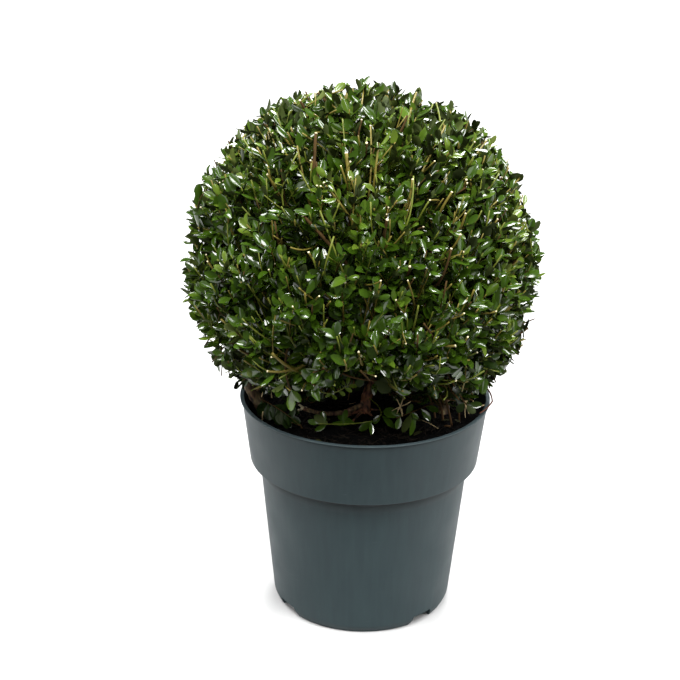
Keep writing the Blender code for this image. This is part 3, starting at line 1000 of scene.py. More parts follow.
@dataclass
class CompostBed:
    """Crumbly compost just under the rim, with bark chips, root fibres and straws lying on it."""

    pot: NurseryPot
    top: float = 228.0 * MM
    clearance: float = 0.6 * MM
    bottom: float = 14.5 * MM
    rings: int = 74
    segments: int = 220
    lump: float = 2.2 * MM
    crumb: float = 1.0 * MM
    chips: int = 620
    fibres: int = 230
    straw_share: float = 0.06
    seed: int = 11

    def wall_radius(self, height: float) -> float:
        """The radius of the compost where it meets the pot's wall."""
        (low_r, low_z), (high_r, high_z) = self.pot.inner_points()[-2:]
        return low_r + (high_r - low_r) * (height - low_z) / (high_z - low_z) - self.clearance

    def relief(self, points: Array) -> Array:
        """How far the surface stands above the level, at points in plan."""
        flat = points * IN_PLAN
        lumps = lattice_noise(flat, 22.0 * MM, self.seed) * self.lump
        clods = lattice_noise(flat, 7.0 * MM, self.seed + 1) * self.crumb
        crumbs = np.abs(lattice_noise(flat, 2.6 * MM, self.seed + 2)) * self.crumb * 1.2
        return lumps + clods + crumbs - 1.2 * MM

    def build(self) -> None:
        """Makes the compost and what lies on it."""
        piece = Piece("compost", Slot.COMPOST, "soil")
        edge = self.wall_radius(self.top)
        circle = around(np.arange(self.segments) * (FULL_TURN / self.segments), 1.0, 0.0)
        shares = np.sqrt(np.linspace(1.0, 0.0, self.rings + 1)[:-1])
        surface = circle[None] * (edge * shares)[:, None, None]
        calm = np.clip((1.0 - shares) * 14.0, 0.25, 1.0)[:, None]
        surface[..., 2] = self.top + self.relief(surface) * calm
        inner = self.pot.inner_points()
        wall = [(edge, self.top - 2.0 * MM)]
        wall += [(radius - self.clearance, height) for radius, height in inner[3:1:-1]]
        slope = (inner[2][0] - inner[1][0]) / (inner[2][1] - inner[1][1])
        wall.append((inner[1][0] + slope * (self.bottom - inner[1][1]) - self.clearance, self.bottom))
        sides = np.stack([circle * radius + UP * height for radius, height in wall[::-1]])
        sides[-1, :, :2] = surface[0, :, :2]
        rows = np.concatenate((sides, surface))
        ends = np.array(((0.0, 0.0, self.bottom), (0.0, 0.0, self.top)))
        piece.add(np.concatenate((rows.reshape(-1, 3), ends)), tube_faces(len(rows), self.segments))
        piece.make(PeatFinish().material())
        self.scatter_chips(edge)
        self.scatter_fibres(edge)

    def places(self, rng: np.random.Generator, count: int, edge: float) -> Array:
        """Points spread over the compost's surface, thicker towards the pot's wall.

        Args:
            rng: The seeded choices.
            count: How many.
            edge: The radius they stay inside.

        Returns:
            The points, one in each row.
        """
        distance = edge * rng.uniform(0.02, 1.0, count) ** 0.45 * 0.985
        found = around(rng.uniform(0.0, FULL_TURN, count), distance, 0.0)
        found[:, 2] = self.top + self.relief(found)
        return found

    def scatter_chips(self, edge: float) -> None:
        """Lays splintered chips of bark on the surface, each a block with uneven corners."""
        rng = np.random.default_rng(self.seed)
        vertices = self.places(rng, self.chips, edge - 5.0 * MM)[:, None]
        length = rng.uniform(1.2, 4.2, self.chips) * MM
        way = unit(rng.normal(size=(self.chips, 3)) * (1.0, 1.0, 0.3))
        side = square_to(way)
        signs = np.array([(x, y, z) for z in (-1, 1) for y in (-1, 1) for x in (-1, 1)], dtype=float)
        jitter = signs * rng.uniform(0.55, 1.1, (self.chips, 8, 3))
        for axis, (run, share) in enumerate(((way, 1.0), (side, 0.42), (np.cross(way, side), 0.2))):
            vertices = vertices + run[:, None] * (jitter[..., axis] * length[:, None] * share)[..., None]
        faces = np.array([half for a, b, c, d in BOX_SIDES for half in ((a, b, c), (a, c, d))])
        piece = Piece("bark_chips", Slot.COMPOST)
        piece.add(vertices, repeated(faces, self.chips, 8))
        piece.make(BARK_CHIP.material(), sharp_deg=30.0)

    def scatter_fibres(self, edge: float) -> None:
        """Lays curved root fibres on the surface, and a few pale dry straws."""
        rng = np.random.default_rng(self.seed + 5)
        start = self.places(rng, self.fibres, edge - 22.0 * MM) + UP * 0.6 * MM
        angle = rng.uniform(0.0, FULL_TURN, self.fibres)
        length = rng.uniform(6.0, 22.0, self.fibres) * MM
        end = start + around(angle, 1.0, rng.uniform(-0.03, 0.16, self.fibres)) * length[:, None]
        sway = rng.normal(size=start.shape) * (length * 0.16)[:, None] * (1.0, 1.0, 0.3)
        bend = (start + end) / 2.0 + sway
        bend[:, 2] = np.maximum(bend[:, 2], self.top + 1.0 * MM)
        end[:, 2] = np.maximum(end[:, 2], self.top + 0.5 * MM)
        thick = rng.uniform(0.25, 0.6, self.fibres) * MM
        fibres = Limbs(start, bend, end, thick, thick * 0.6)
        pale = rng.uniform(size=self.fibres) < self.straw_share
        for name, rows, finish in (("root_fibres", ~pale, ROOT_FIBRE), ("dry_straws", pale, STRAW)):
            piece = Piece(name, Slot.COMPOST)
            piece.add(*fibres.chosen(rows).tubes(6, 5))
            piece.make(finish.material())


# The wood


@dataclass(frozen=True)
class Stem:
    """One main stem, from its foot in the compost to its tip in the crown.

    The bend and the tip are given as azimuth in degrees from the front, distance from the axis and height.
    """

    name: str
    azimuth_deg: float
    distance: float
    bend: Point
    tip: Point
    low_radius: float
    high_radius: float
    bark: BarkFinish = GREY_BARK


@dataclass
class StemSet:
    """The five stems that stand in the compost, and the pruned bough that lies over it."""

    foot_height: float = 228.3 * MM
    sunk: float = 3.0 * MM
    flare: float = 1.55
    flare_height: float = 10.0 * MM
    pruned_end: Point = (-0.0680, -0.026, 0.2412)
    rings: int = 40
    sides: int = 28
    stems: tuple[Stem, ...] = (
        Stem("stem_centre", -25, 0.002, (150, 0.006, 0.252), (131, 0.014, 0.274), 0.0062, 0.0051, RED_BARK),
        Stem("stem_left", -84, 0.108, (-81, 0.135, 0.266), (-83, 0.142, 0.300), 0.0072, 0.0058),
        Stem("stem_right", 93, 0.088, (95, 0.095, 0.253), (95, 0.104, 0.277), 0.0056, 0.0046),
        Stem("stem_back_left", -150, 0.078, (-152, 0.084, 0.253), (-154, 0.092, 0.275), 0.0060, 0.0050),
        Stem("stem_back_right", 146, 0.082, (148, 0.089, 0.253), (150, 0.098, 0.275), 0.0054, 0.0045),
    )

    def limbs(self) -> Limbs:
        """The stems as limbs."""
        rows = self.stems
        return Limbs(
            np.stack([polar(s.azimuth_deg, s.distance, self.foot_height) for s in rows]),
            np.stack([polar(*s.bend) for s in rows]),
            np.stack([polar(*s.tip) for s in rows]),
            np.array([s.low_radius for s in rows]),
            np.array([s.high_radius for s in rows]),
        )

    def bark_relief(self, start: Array, radius: float, seed: int) -> Relief:
        """The relief of a stem's bark: its root flare, its buttresses and its ridges.

        Args:
            start: The middle of the stem's foot.
            radius: Its radius over the flare.
            seed: Which ridges.

        Returns:
            A function that gives how far each vertex stands out of the plain tube.
        """

        def relief(points: Array, shares: Array) -> Array:
            rise = np.clip(1.0 - (points[..., 2] - start[2]) / self.flare_height, 0.0, 1.0)
            angle = np.arctan2(points[..., 1] - start[1], points[..., 0] - start[0])
            lobes = 0.75 + 0.5 * np.cos(angle * 3.0 + seed) * np.cos(angle * 2.0 + seed * 2.0)
            flare = (self.flare - 1.0) * radius * rise**2 * lobes
            stretched = points * np.array((1.0, 1.0, 0.3))
            ridges = lattice_noise(stretched, 3.2 * MM, seed) * 0.09
            ridges = ridges + lattice_noise(stretched, 1.4 * MM, seed + 9) * 0.05
            knobs = lattice_noise(points, 12.0 * MM, seed + 4) * 0.10
            return flare + radius * (ridges + knobs) * np.clip(shares * 30.0 + 0.3, 0.0, 1.0)

        return relief

    def roots(self) -> Limbs:
        """Surface roots of the middle stem, half sunk in the compost."""
        foot = polar(self.stems[0].azimuth_deg, self.stems[0].distance, self.foot_height + 1.0 * MM)
        ends = np.array(((-24, -21), (-13, -27), (9, -14), (17, 3), (-15, 9), (-25, -8)))
        count = len(ends)
        tips = np.concatenate((ends * MM, np.full((count, 1), self.foot_height - 0.6 * MM)), axis=1)
        start = np.tile(foot, (count, 1))
        sway = np.array((1.0, -1.0, 0.0)) * (np.arange(count) % 3 - 1.0)[:, None] * 3.0 * MM
        bend = (start + tips) / 2.0 + sway
        bend[:, 2] = self.foot_height + 1.4 * MM
        size = np.linspace(2.6, 1.7, count) * MM
        return Limbs(start, bend, tips, size, size * 0.45)

    def seat(self, name: str, height: float) -> Array:
        """The point on a stem's middle line at a height."""
        row = [stem.name for stem in self.stems].index(name)
        line = self.limbs().points(np.linspace(0.0, 1.0, 200))[row]
        return line[np.argmin(np.abs(line[:, 2] - height))]

    def pruned_bough(self) -> Limbs:
        """The cut-back bough, from the middle stem to its saw cut, and the two spurs at its end."""
        start = self.seat("stem_centre", 0.2390)
        end = np.array(self.pruned_end)
        control = start + np.array((-0.030, -0.031, -0.011))
        spurs = end + np.array(((-0.0050, 0.0010, 0.0042), (-0.0058, -0.0030, -0.0012)))
        spur_root = end + (0.004, 0.0005, -0.0004)
        root = np.stack((start, spur_root, spur_root))
        bend = np.stack((control, end, end))
        tips = np.stack((end, *spurs))
        return Limbs(root, bend, tips, np.array((2.9, 2.0, 1.8)) * MM, np.array((2.3, 1.3, 1.1)) * MM)

    def build(self) -> None:
        """Makes the stems, the pruned bough and the surface roots."""
        limbs = self.limbs()
        for index, stem in enumerate(self.stems):
            one = limbs.chosen(np.array([index]))
            foot = one.start[0].copy()
            one.start = one.start - UP * self.sunk
            piece = Piece(f"{stem.name}_bark", Slot.BARK, stem.name)
            relief = self.bark_relief(foot, stem.low_radius, index + 3)
            piece.add(*one.tubes(self.rings, self.sides, relief))
            piece.make(stem.bark.material())
        bough = self.pruned_bough()
        bark, torn = bough.chosen(slice(0, 1)), bough.chosen(slice(1, 3))
        for name, wood, size, relief, finish, *replaced in (
            ("pruned_bough_bark", bark, (34, 18), gnarled(3.0, 0.3, 21), TAN_BARK, "pruned_bough"),
            ("surface_roots", self.roots(), (16, 10), gnarled(3.0, 0.35, 22), RED_BARK),
            ("pruned_bough_cuts", torn, (12, 10), gnarled(1.6, 0.3, 23), CUT_WOOD, "pruned_bough"),
        ):
            piece = Piece(name, Slot.BARK, *replaced)
            piece.add(*wood.tubes(*size, relief))
            piece.make(finish.material())


# The crown


@dataclass(frozen=True)
class ClippedTwig:
    """A woody twig at the front, in millimetres: its tip, where it comes out, and its radius."""

    tip: Point
    foot: Point
    radius: float
    skin: Skin
    cut: bool


@dataclass(frozen=True)
class LimbOrder:
    """One order of limbs inside the crown.

    The reach is how far from the middle of the ball they end, the jitter is how unevenly they are
    spread, and the earliest share is the smallest share of a parent's length that one leaves from.
    """

    count: int
    reach: float
    jitter: float
    low_radius: float
    high_radius: float
    earliest: float


@dataclass(frozen=True)
class ShootRule:
    """How one kind of shoot leaves what carries it.

    The lengths, the radii at its start and the knees are given as least and greatest. The knee is the
    share of its length that runs straight to its tip. It leaves between the earliest and the latest
    share of the carrier's length.
    """

    lengths: tuple[float, float]
    earliest: float = 0.5
    latest: float = 0.95
    radii: tuple[float, float] = (0.8 * MM, 1.1 * MM)
    knees: tuple[float, float] = (0.45, 0.70)


@dataclass(frozen=True)
class LeafRule:
    """How leaves are set along a limb: how far apart, between which shares of it, and how long."""

    spacing: float
    first: float
    last: float
    lengths: tuple[float, float]


BOUGHS = LimbOrder(30, 76.0 * MM, 0.08, 4.6 * MM, 2.9 * MM, 0.35)
BRANCHES = LimbOrder(140, 116.0 * MM, 0.06, 2.8 * MM, 1.8 * MM, 0.5)
TWIGS = LimbOrder(560, 147.0 * MM, 0.05, 1.6 * MM, 1.1 * MM, 0.45)

MAIN_SHOOTS = ShootRule((44.0 * MM, 90.0 * MM), 0.45)
SIDE_SHOOTS = ShootRule((24.0 * MM, 46.0 * MM), 0.25, 0.7)
RUNNERS = ShootRule((58.0 * MM, 100.0 * MM), knees=(0.70, 0.88))
STUBS = ShootRule((50.0 * MM, 85.0 * MM), radii=(1.3 * MM, 1.8 * MM))
FRINGE_SHOOTS = ShootRule((34.0 * MM, 50.0 * MM), 0.4, 0.7)
SKIRT_SHOOTS = ShootRule((30.0 * MM, 60.0 * MM))

FULL_LEAVES = LeafRule(4.6 * MM, 0.18, 0.99, (13.5 * MM, 22.5 * MM))
SPARSE_LEAVES = LeafRule(6.0 * MM, 0.10, 0.60, (14.0 * MM, 21.0 * MM))
RUNNER_LEAVES = LeafRule(8.0 * MM, 0.30, 0.97, (13.0 * MM, 20.0 * MM))
INNER_LEAVES = LeafRule(12.0 * MM, 0.35, 0.85, (16.0 * MM, 23.0 * MM))
HANGING_LEAVES = LeafRule(7.0 * MM, 0.25, 1.0, (14.0 * MM, 22.0 * MM))

# The scores from which a spray has the next brighter tone, and the shares of the four darkest tones
# among the low shoots.
TONE_STEPS = (0.08, 0.34, 0.66, 0.90, 0.99)
LOW_TONES = (0.4, 0.3, 0.2, 0.1)

# Bumps of the ball's outline: the angle from +X seen from the front, and the height in millimetres.
OUTLINE = ((-28, 3.0), (-165, -2.5), (178, -3.0), (145, 2.5), (112, 3.0), (80, -4.5), (62, -2.5), (28, 2.0))
BUMP_WIDTH_DEG = 13.0

# Arches of the crown's lower edge: their middle in x, half their width and their height in millimetres.
FRONT_ARCHES = ((3.0, 14.0, 27.0), (62.0, 13.0, 12.0))
LEFT_ARCH = (-122.0, 26.0, 14.0)

# Tips, feet and radii in millimetres of the woody twigs at the front, by their skin and by whether they
# end in a pale cut.
TWIG_ROWS: dict[tuple[Skin, bool], tuple[Row, ...]] = {
    (Skin.GREEN, False): (
        (-28, -69, 578, -24, -103, 551, 0.9), (-68, -118, 537, -46, -144, 503, 1.0),
        (-47, -151, 507, -20, -175, 440, 1.1), (-128, -90, 515, -106, -104, 511, 0.8),
        (-103, -119, 512, -92, -124, 503, 0.8), (-3, -95, 566, -9, -112, 544, 0.9),
        (69, 23, 575, 78, -24, 561, 1.0), (93, -114, 514, 91, -120, 495, 0.8),
        (134, -35, 522, 124, -60, 511, 0.8), (112, -110, 498, 106, -117, 480, 0.9),
        (58, -137, 514, 49, -142, 499, 1.0), (-86, -159, 464, -76, -160, 445, 0.9),
        (-124, -146, 392, -94, -149, 357, 1.0), (-12, -187, 401, -12, -177, 381, 0.8),
        (50, -177, 421, 47, -170, 385, 1.0), (106, -147, 427, 107, -138, 412, 0.8),
        (149, -98, 435, 144, -95, 424, 0.9), (93, -158, 401, 104, -140, 389, 0.9),
        (111, -139, 362, 100, -134, 354, 0.9),
    ),
    (Skin.TAN, False): (
        (-109, 27, 560, -111, -35, 547, 1.0), (-72, -91, 555, -66, -117, 527, 1.3),
        (-8, 32, 589, -9, -18, 583, 1.0), (8, -108, 557, 5, -125, 533, 1.3),
        (25, -97, 562, 5, -111, 545, 0.8), (76, -44, 567, 46, -120, 527, 1.2),
        (-92, -149, 480, -84, -147, 472, 0.9), (-75, -160, 472, -63, -159, 466, 1.0),
        (-66, -175, 436, -54, -172, 422, 0.9), (-35, -184, 426, -42, -175, 414, 0.8),
        (-84, -170, 400, -64, -169, 389, 0.9), (-93, -160, 361, -77, -148, 333, 1.8),
        (-107, -148, 351, -95, -139, 335, 0.9), (-45, -178, 362, -38, -165, 342, 0.9),
        (35, -161, 490, 27, -160, 478, 0.9), (82, -161, 438, 77, -157, 424, 1.0),
        (81, -165, 400, 69, -160, 382, 1.0), (105, -138, 349, 76, -148, 348, 1.0),
        (71, -165, 364, 60, -156, 348, 1.0), (51, -167, 344, 38, -153, 323, 1.1),
    ),
    (Skin.TAN, True): (
        (-89, -60, 562, -81, -74, 550, 1.3), (-81, -57, 567, -72, -82, 551, 1.2),
        (-23, -112, 554, -19, -127, 531, 2.1), (-28, -123, 544, -21, -130, 527, 1.0),
        (-44, -134, 530, -21, -147, 506, 1.3), (-47, -136, 527, -39, -132, 522, 0.8),
        (-101, -104, 529, -94, -108, 517, 1.3), (0, -80, 574, 4, -125, 533, 1.0),
        (48, 36, 583, 39, -22, 577, 1.4), (64, -102, 545, 57, -102, 538, 1.0),
        (42, -127, 533, 41, -138, 509, 1.4), (81, -120, 519, 71, -128, 503, 1.5),
        (59, -136, 515, 76, -117, 512, 0.9), (96, -99, 526, 96, -97, 515, 1.4),
        (95, -125, 499, 93, -128, 481, 1.3), (122, 2, 541, 107, -46, 535, 1.1),
        (138, 17, 526, 130, -8, 520, 1.0), (129, -99, 486, 122, -105, 472, 1.1),
        (160, 8, 500, 150, -11, 491, 1.1), (-57, -168, 470, -49, -167, 453, 1.3),
        (-46, -181, 430, -54, -172, 420, 1.0), (-94, -158, 356, -90, -148, 348, 1.0),
        (-99, -147, 336, -78, -146, 330, 1.5), (-7, -184, 374, -3, -169, 345, 1.3),
        (13, -181, 447, 3, -176, 437, 0.8), (39, -176, 446, 50, -169, 416, 1.0),
        (90, -140, 482, 86, -141, 465, 1.2), (96, -156, 406, 82, -155, 392, 1.0),
        (89, -157, 372, 74, -155, 366, 1.6), (130, -127, 398, 118, -127, 391, 1.2),
        (39, -180, 382, 35, -174, 396, 0.8),
    ),
    (Skin.BROWN, False): (
        (37, -54, 579, 33, -62, 568, 1.4), (-152, -117, 392, -148, -105, 371, 0.7),
        (-129, -132, 354, -117, -123, 336, 1.3), (56, -176, 402, 74, -156, 370, 1.2),
    ),
    (Skin.BROWN, True): (
        (-54, -83, 566, -56, -113, 535, 2.0), (-58, -112, 546, -57, -116, 531, 1.1),
        (-63, -150, 501, -34, -163, 474, 2.0), (-9, -72, 578, -14, -87, 561, 1.1),
        (18, -158, 501, 15, -158, 486, 1.8), (81, -151, 471, 76, -156, 436, 1.3),
    ),
}
CLIPPED_TWIGS = [
    ClippedTwig(row[:3], row[3:6], row[6], skin, cut)
    for (skin, cut), rows in TWIG_ROWS.items()
    for row in rows
]

# The gaps among the leaves, as the photograph shows them: middles and radii in millimetres of those that
# the sky shows through, which all have one depth, and then middles, radii and depths of the others.
SKY = 400.0
SKY_GAPS: tuple[Row, ...] = (
    (-170, -50, 328, 3.8), (170, -37, 360, 3.0), (-82, 33, 575, 3.2), (133, -63, 289, 3.2),
    (-143, -77, 305, 3.0), (-159, -54, 313, 3.0), (-185, -1, 476, 2.6), (137, -117, 395, 2.4),
    (162, -44, 339, 2.4), (-134, -131, 367, 2.4), (56, 1, 580, 3.4), (112, -26, 546, 2.6),
    (122, -108, 327, 2.4), (-166, -65, 476, 2.2), (152, -67, 476, 2.2), (-136, -132, 378, 2.2),
    (-147, -104, 341, 3.0), (-131, -119, 334, 3.0), (143, -59, 299, 2.6), (-155, -58, 303, 2.4),
    (149, -83, 348, 2.2),
)
LEAF_GAPS: tuple[Row, ...] = (
    (-103, -159, 413, 9.0, 34), (-108, -155, 420, 5.5, 30), (-97, -163, 404, 6.0, 30),
    (-38, -183, 406, 7.5, 30), (-48, -181, 408, 4.5, 24), (-78, -135, 511, 4.5, 22),
    (-72, -105, 544, 4.5, 24), (-60, -120, 537, 6.0, 26), (1, -186, 413, 8.5, 32),
    (-1, -185, 426, 5.0, 26), (87, -159, 422, 5.5, 26), (99, -153, 412, 5.0, 24),
    (73, -164, 441, 3.6, 20), (-20, -176, 464, 3.5, 18), (-70, -173, 375, 5.0, 22),
    (-25, -184, 381, 5.0, 22), (26, -181, 375, 5.0, 22), (59, -173, 425, 3.6, 18),
    (-150, -118, 417, 4.0, 20), (-36, -172, 469, 3.2, 16), (23, -163, 490, 3.4, 16),
    (-15, -170, 480, 4.4, 20), (-65, -177, 405, 4.0, 20), (36, -181, 415, 3.6, 18),
    (10, -121, 545, 3.2, 18), (49, -124, 532, 3.6, 18), (-21, -182, 441, 3.0, 16),
)

# Tips and feet in millimetres of the shoots that fringe the ball's lower outline.
FRINGE: tuple[Row, ...] = (
    (-174, -40, 320, -165, -40, 337), (-167, -40, 300, -156, -40, 315), (-157, -39, 284, -157, -40, 306),
    (-148, -40, 282, -152, -40, 303), (-143, -40, 294, -130, -40, 296), (-183, -40, 366, -173, -40, 372),
    (173, -40, 347, 154, -39, 326), (172, -38, 333, 158, -38, 334), (166, -40, 322, 157, -40, 333),
    (153, -39, 297, 145, -40, 310), (142, -39, 283, 137, -39, 298), (136, -39, 276, 131, -39, 290),
    (132, -40, 287, 126, -40, 302), (160, -39, 309, 151, -40, 319), (124, -40, 295, 117, -40, 309),
)

# The part of the left stem that shows under the ball, which leaves keep clear of: its two ends, a radius
# round it and a depth behind it, in millimetres.
LEFT_STEM_IN_SIGHT = ((-108.0, -11.0, 229.0), (-127.0, -17.0, 262.0), 6.5, 1.0)


@dataclass
class Crown:
    """The clipped ball: boughs, twigs, shoots and leaves that grow on from the stems.

    Limbs of each order end on a ball inside the clipped one, spread by the golden angle. The shoots run
    from the finest limbs to the clipped surface, leaning up, with leaves set spirally along them.
    """

    stems: StemSet
    centre: Point = (-0.007, 0.0, 0.405)
    reach: float = 199.0 * MM
    clip_radius: float = 188.0 * MM
    floor: float = 258.0 * MM
    lowest_limb: float = 288.0 * MM
    lift: float = 2.0
    main_shoots: int = 1350
    side_shoots: int = 950
    low_shoots: int = 430
    stub_count: int = 150
    runner_count: int = 170
    seed: int = 27

    def __post_init__(self) -> None:
        """Starts the seeded choices, and lists the lines that leaves keep clear of."""
        self.rng = np.random.default_rng(self.seed)
        self.middle = np.array(self.centre)
        self.clear = [(twig.foot, twig.tip, twig.radius + 1.6, 1.0) for twig in CLIPPED_TWIGS]
        self.clear += [(gap[:3], gap[:3], gap[3], SKY) for gap in SKY_GAPS]
        self.clear += [(gap[:3], gap[:3], *gap[3:]) for gap in LEAF_GAPS]
        self.clear.append(LEFT_STEM_IN_SIGHT)

    def open_to_view(self, leaves: Leaves) -> Array:
        """Finds the leaves that may stay, seen from the photograph's side.

        Args:
            leaves: The leaves.

        Returns:
            False for each leaf that would hide a clipped twig or close a gap.
        """
        none = np.zeros((1, 3))
        spots = leaves.at(np.array(((0.25, 0.6, 0.9),)), none, none)
        kept = np.ones(len(leaves), dtype=bool)
        for line in self.clear:
            low, high = (np.array(point) * MM for point in line[:2])
            radius, depth = line[2] * MM, line[3] * MM
            way = unit(np.array(CAMERA_AT) - (low + high) / 2.0)
            run = high - low
            run = run - way * (run @ way)
            before = (spots - low) @ way
            flat = spots - low - before[..., None] * way
            share = np.clip(flat @ run / max(run @ run, 1e-9), 0.0, 1.0)
            apart = np.linalg.norm(flat - share[..., None] * run, axis=-1)
            kept &= ~np.any((apart < radius) & (before > -depth), axis=1)
        return kept

    def between(self, low: float, high: float, shape: int | tuple[int, ...]) -> Array:
        """Seeded numbers between two bounds."""
        return self.rng.uniform(low, high, shape)

    def astray(self, ways: Array, amount: float) -> Array:
        """The ways, each turned a little and by chance."""
        return unit(ways + self.rng.normal(size=ways.shape) * amount)

    def some(self, count: int, share: Array | float) -> Array:
        """True for a seeded share of count things."""
        return self.between(0.0, 1.0, count) < share

    def floor_at(self, points: Array) -> Array:
        """The height under which no leaf hangs: the pot's rim, and higher in front, where it is open."""
        x, y = points[..., 0], points[..., 1]
        distance = np.hypot(x, y)
        front = np.clip((-y / np.maximum(distance, 1e-6) - 0.35) / 0.65, 0.0, 1.0)
        ease = front * front * (3.0 - 2.0 * front)
        ragged = lattice_noise(points * IN_PLAN, 21.0 * MM, 6) * 7.0 * MM
        window = sum(self.arch(x, *sizes) for sizes in FRONT_ARCHES)
        sunk = np.clip((122.0 * MM - distance) / (20.0 * MM), 0.0, 1.0) * 11.0 * MM
        sunk -= self.arch(x, *LEFT_ARCH) * np.clip((15.0 * MM - y) / (20.0 * MM), 0.0, 1.0)
        raised = np.maximum(0.447 * distance - 18.6 * MM, 0.0) + ragged + window
        return self.floor + raised * ease - sunk * (1.0 - ease)

    @staticmethod
    def arch(across: Array, middle: float, half_width: float, height: float) -> Array:
        """The height of a flat-topped arch at each place across it, with its sizes in millimetres."""
        return np.exp(-(((across - middle * MM) / (half_width * MM)) ** 4)) * height * MM

    def clip_at(self, outward: Array) -> Array:
        """How far out the shears went in each direction, with their dents and bumps."""
        waves = lattice_noise(outward, 0.35, 3) * 3.0 * MM + lattice_noise(outward, 0.12, 4) * 4.5 * MM
        angle = np.degrees(np.arctan2(outward[..., 2], outward[..., 0]))
        for middle, height in OUTLINE:
            apart = (angle - middle + 180.0) % 360.0 - 180.0
            waves = waves + np.exp(-((apart / BUMP_WIDTH_DEG) ** 2)) * height * MM
        return self.clip_radius + waves

    def surface(self, outward: Array, under: Array) -> Array:
        """Points on the ways outward from the middle, as far under the clipped surface as is given."""
        return self.middle + outward * (self.clip_at(outward) - under)[:, None]

    def inside(self, points: Array) -> Array:
        """True for points in the clipped ball and above its floor."""
        near = np.linalg.norm(points - self.middle, axis=-1) < self.reach - 0.3 * MM
        return near & (points[..., 2] > self.floor_at(points))

    def leaders(self) -> Limbs:
        """The stems' own growth on into the crown, one for each stem."""
        stems = self.stems.limbs()
        way = stems.ways(np.ones(1))[:, 0]
        turned = unit(way + unit(self.middle - stems.end))
        start = stems.end - way * 1.5 * MM
        knee = stems.end + way * 12.0 * MM
        radius = stems.high_radius
        return Limbs(start, knee, knee + turned * 48.0 * MM, radius * 1.02, radius * 0.72)

    def branch(self, parents: Limbs, order: LimbOrder) -> Limbs:
        """Grows one order of limbs out of the order before, with tips above the crown's lowest limbs.

        Args:
            parents: The limbs that carry them, which no new limb is thicker than.
            order: Their number, reach and radii.

        Returns:
            The new limbs.
        """
        outward = self.astray(fibonacci(order.count), order.jitter)
        tips = self.middle + outward * order.reach * self.between(0.93, 1.06, (order.count, 1))
        tips = tips[tips[:, 2] > np.maximum(self.lowest_limb, self.floor_at(tips) + 8.0 * MM)]
        chosen = parents.chosen(nearest(parents.end, tips))
        share = self.between(order.earliest, 0.97, (len(tips), 1))
        start = chosen.points(share)[:, 0]
        way = chosen.ways(share)[:, 0]
        low = np.minimum(order.low_radius, chosen.radii(share)[:, 0] * 0.92)
        run = tips - start
        length = np.linalg.norm(run, axis=1, keepdims=True)
        control = start + (way * 0.55 + unit(run) * 0.45) * length * 0.45
        control += self.rng.normal(size=start.shape) * length * 0.05
        return Limbs(start, control, tips, low, np.full(len(tips), order.high_radius))

    def growth(self, outward: Array, spread: float) -> Array:
        """The way that shoots grow: out of the ball and up, each a little its own way."""
        height = outward[:, 2]
        lift = self.lift * np.where(height > 0.0, 1.0 - height, (1.0 + height) ** 2.2)
        return self.astray(outward + UP * lift[:, None], spread)

    def shoots(self, twigs: Limbs) -> Limbs:
        """The shoots, from the finest limbs to the clipped surface, and those that fork off their sides."""
        outward = self.astray(fibonacci(self.main_shoots), 0.04)
        short = self.rng.gamma(1.3, 4.8 * MM, self.main_shoots) - 4.0 * MM
        main = self.shoots_out(twigs, outward, short, 0.40, MAIN_SHOOTS)
        outward = self.astray(fibonacci(self.side_shoots), 0.06)
        short = self.rng.gamma(1.5, 4.0 * MM, self.side_shoots)
        return main.joined(self.shoots_out(main, outward, short, 0.50, SIDE_SHOOTS))

    def shoots_out(
        self, carriers: Limbs, outward: Array, short: Array, spread: float, rule: ShootRule
    ) -> Limbs:
        """Shoots that end near the clipped surface, shorter in its hollows and fewer in the shade.

        Args:
            carriers: The limbs or shoots that they grow from.
            outward: The ways from the ball's middle to their tips.
            short: How far each one ends under the surface, apart from the hollows.
            spread: How much each grows its own way.
            rule: How they leave what carries them.

        Returns:
            The shoots.
        """
        tips = self.surface(outward, short + self.hollow_at(outward))
        kept = self.inside(tips) & self.thinned(outward)
        return self.shoots_to(carriers, tips[kept], self.growth(outward, spread)[kept], rule)

    def runners(self, twigs: Limbs) -> Limbs:
        """Long shoots that climb just under the clipped surface and show for most of their length."""
        outward = self.astray(fibonacci(self.runner_count), 0.15)
        tips = self.surface(outward, -self.between(-3.0 * MM, 3.0 * MM, self.runner_count))
        kept = self.inside(tips) & self.bared(outward)
        outward, tips = outward[kept], tips[kept]
        climb = unit(UP - outward * outward[:, 2:])
        stray = self.rng.normal(size=tips.shape) * 0.30
        growth = unit(climb + outward * self.between(0.12, 0.6, (len(tips), 1)) + stray)
        return self.shoots_to(twigs, tips, growth, RUNNERS)

    def thinned(self, outward: Array) -> Array:
        """True for the shoots that grow, all of them above and fewer in the shade below."""
        return self.some(len(outward), 1.0 - 0.75 * np.clip((-0.15 - outward[:, 2]) / 0.55, 0.0, 1.0))

    def bared(self, outward: Array) -> Array:
        """True for the woody shoots that show besides the clipped twigs, most of them above and behind."""
        share = np.clip(0.34 + outward[:, 2] * 0.95, 0.12, 1.0) * np.where(outward[:, 1] > 0.0, 1.0, 0.3)
        return self.some(len(outward), share)

    def hollow_at(self, outward: Array) -> Array:
        """How much shorter shoots are in the hollows that the shears left between bunches."""
        return np.clip(lattice_noise(outward, 0.17, 12) - 0.04, 0.0, 1.0) * 36.0 * MM

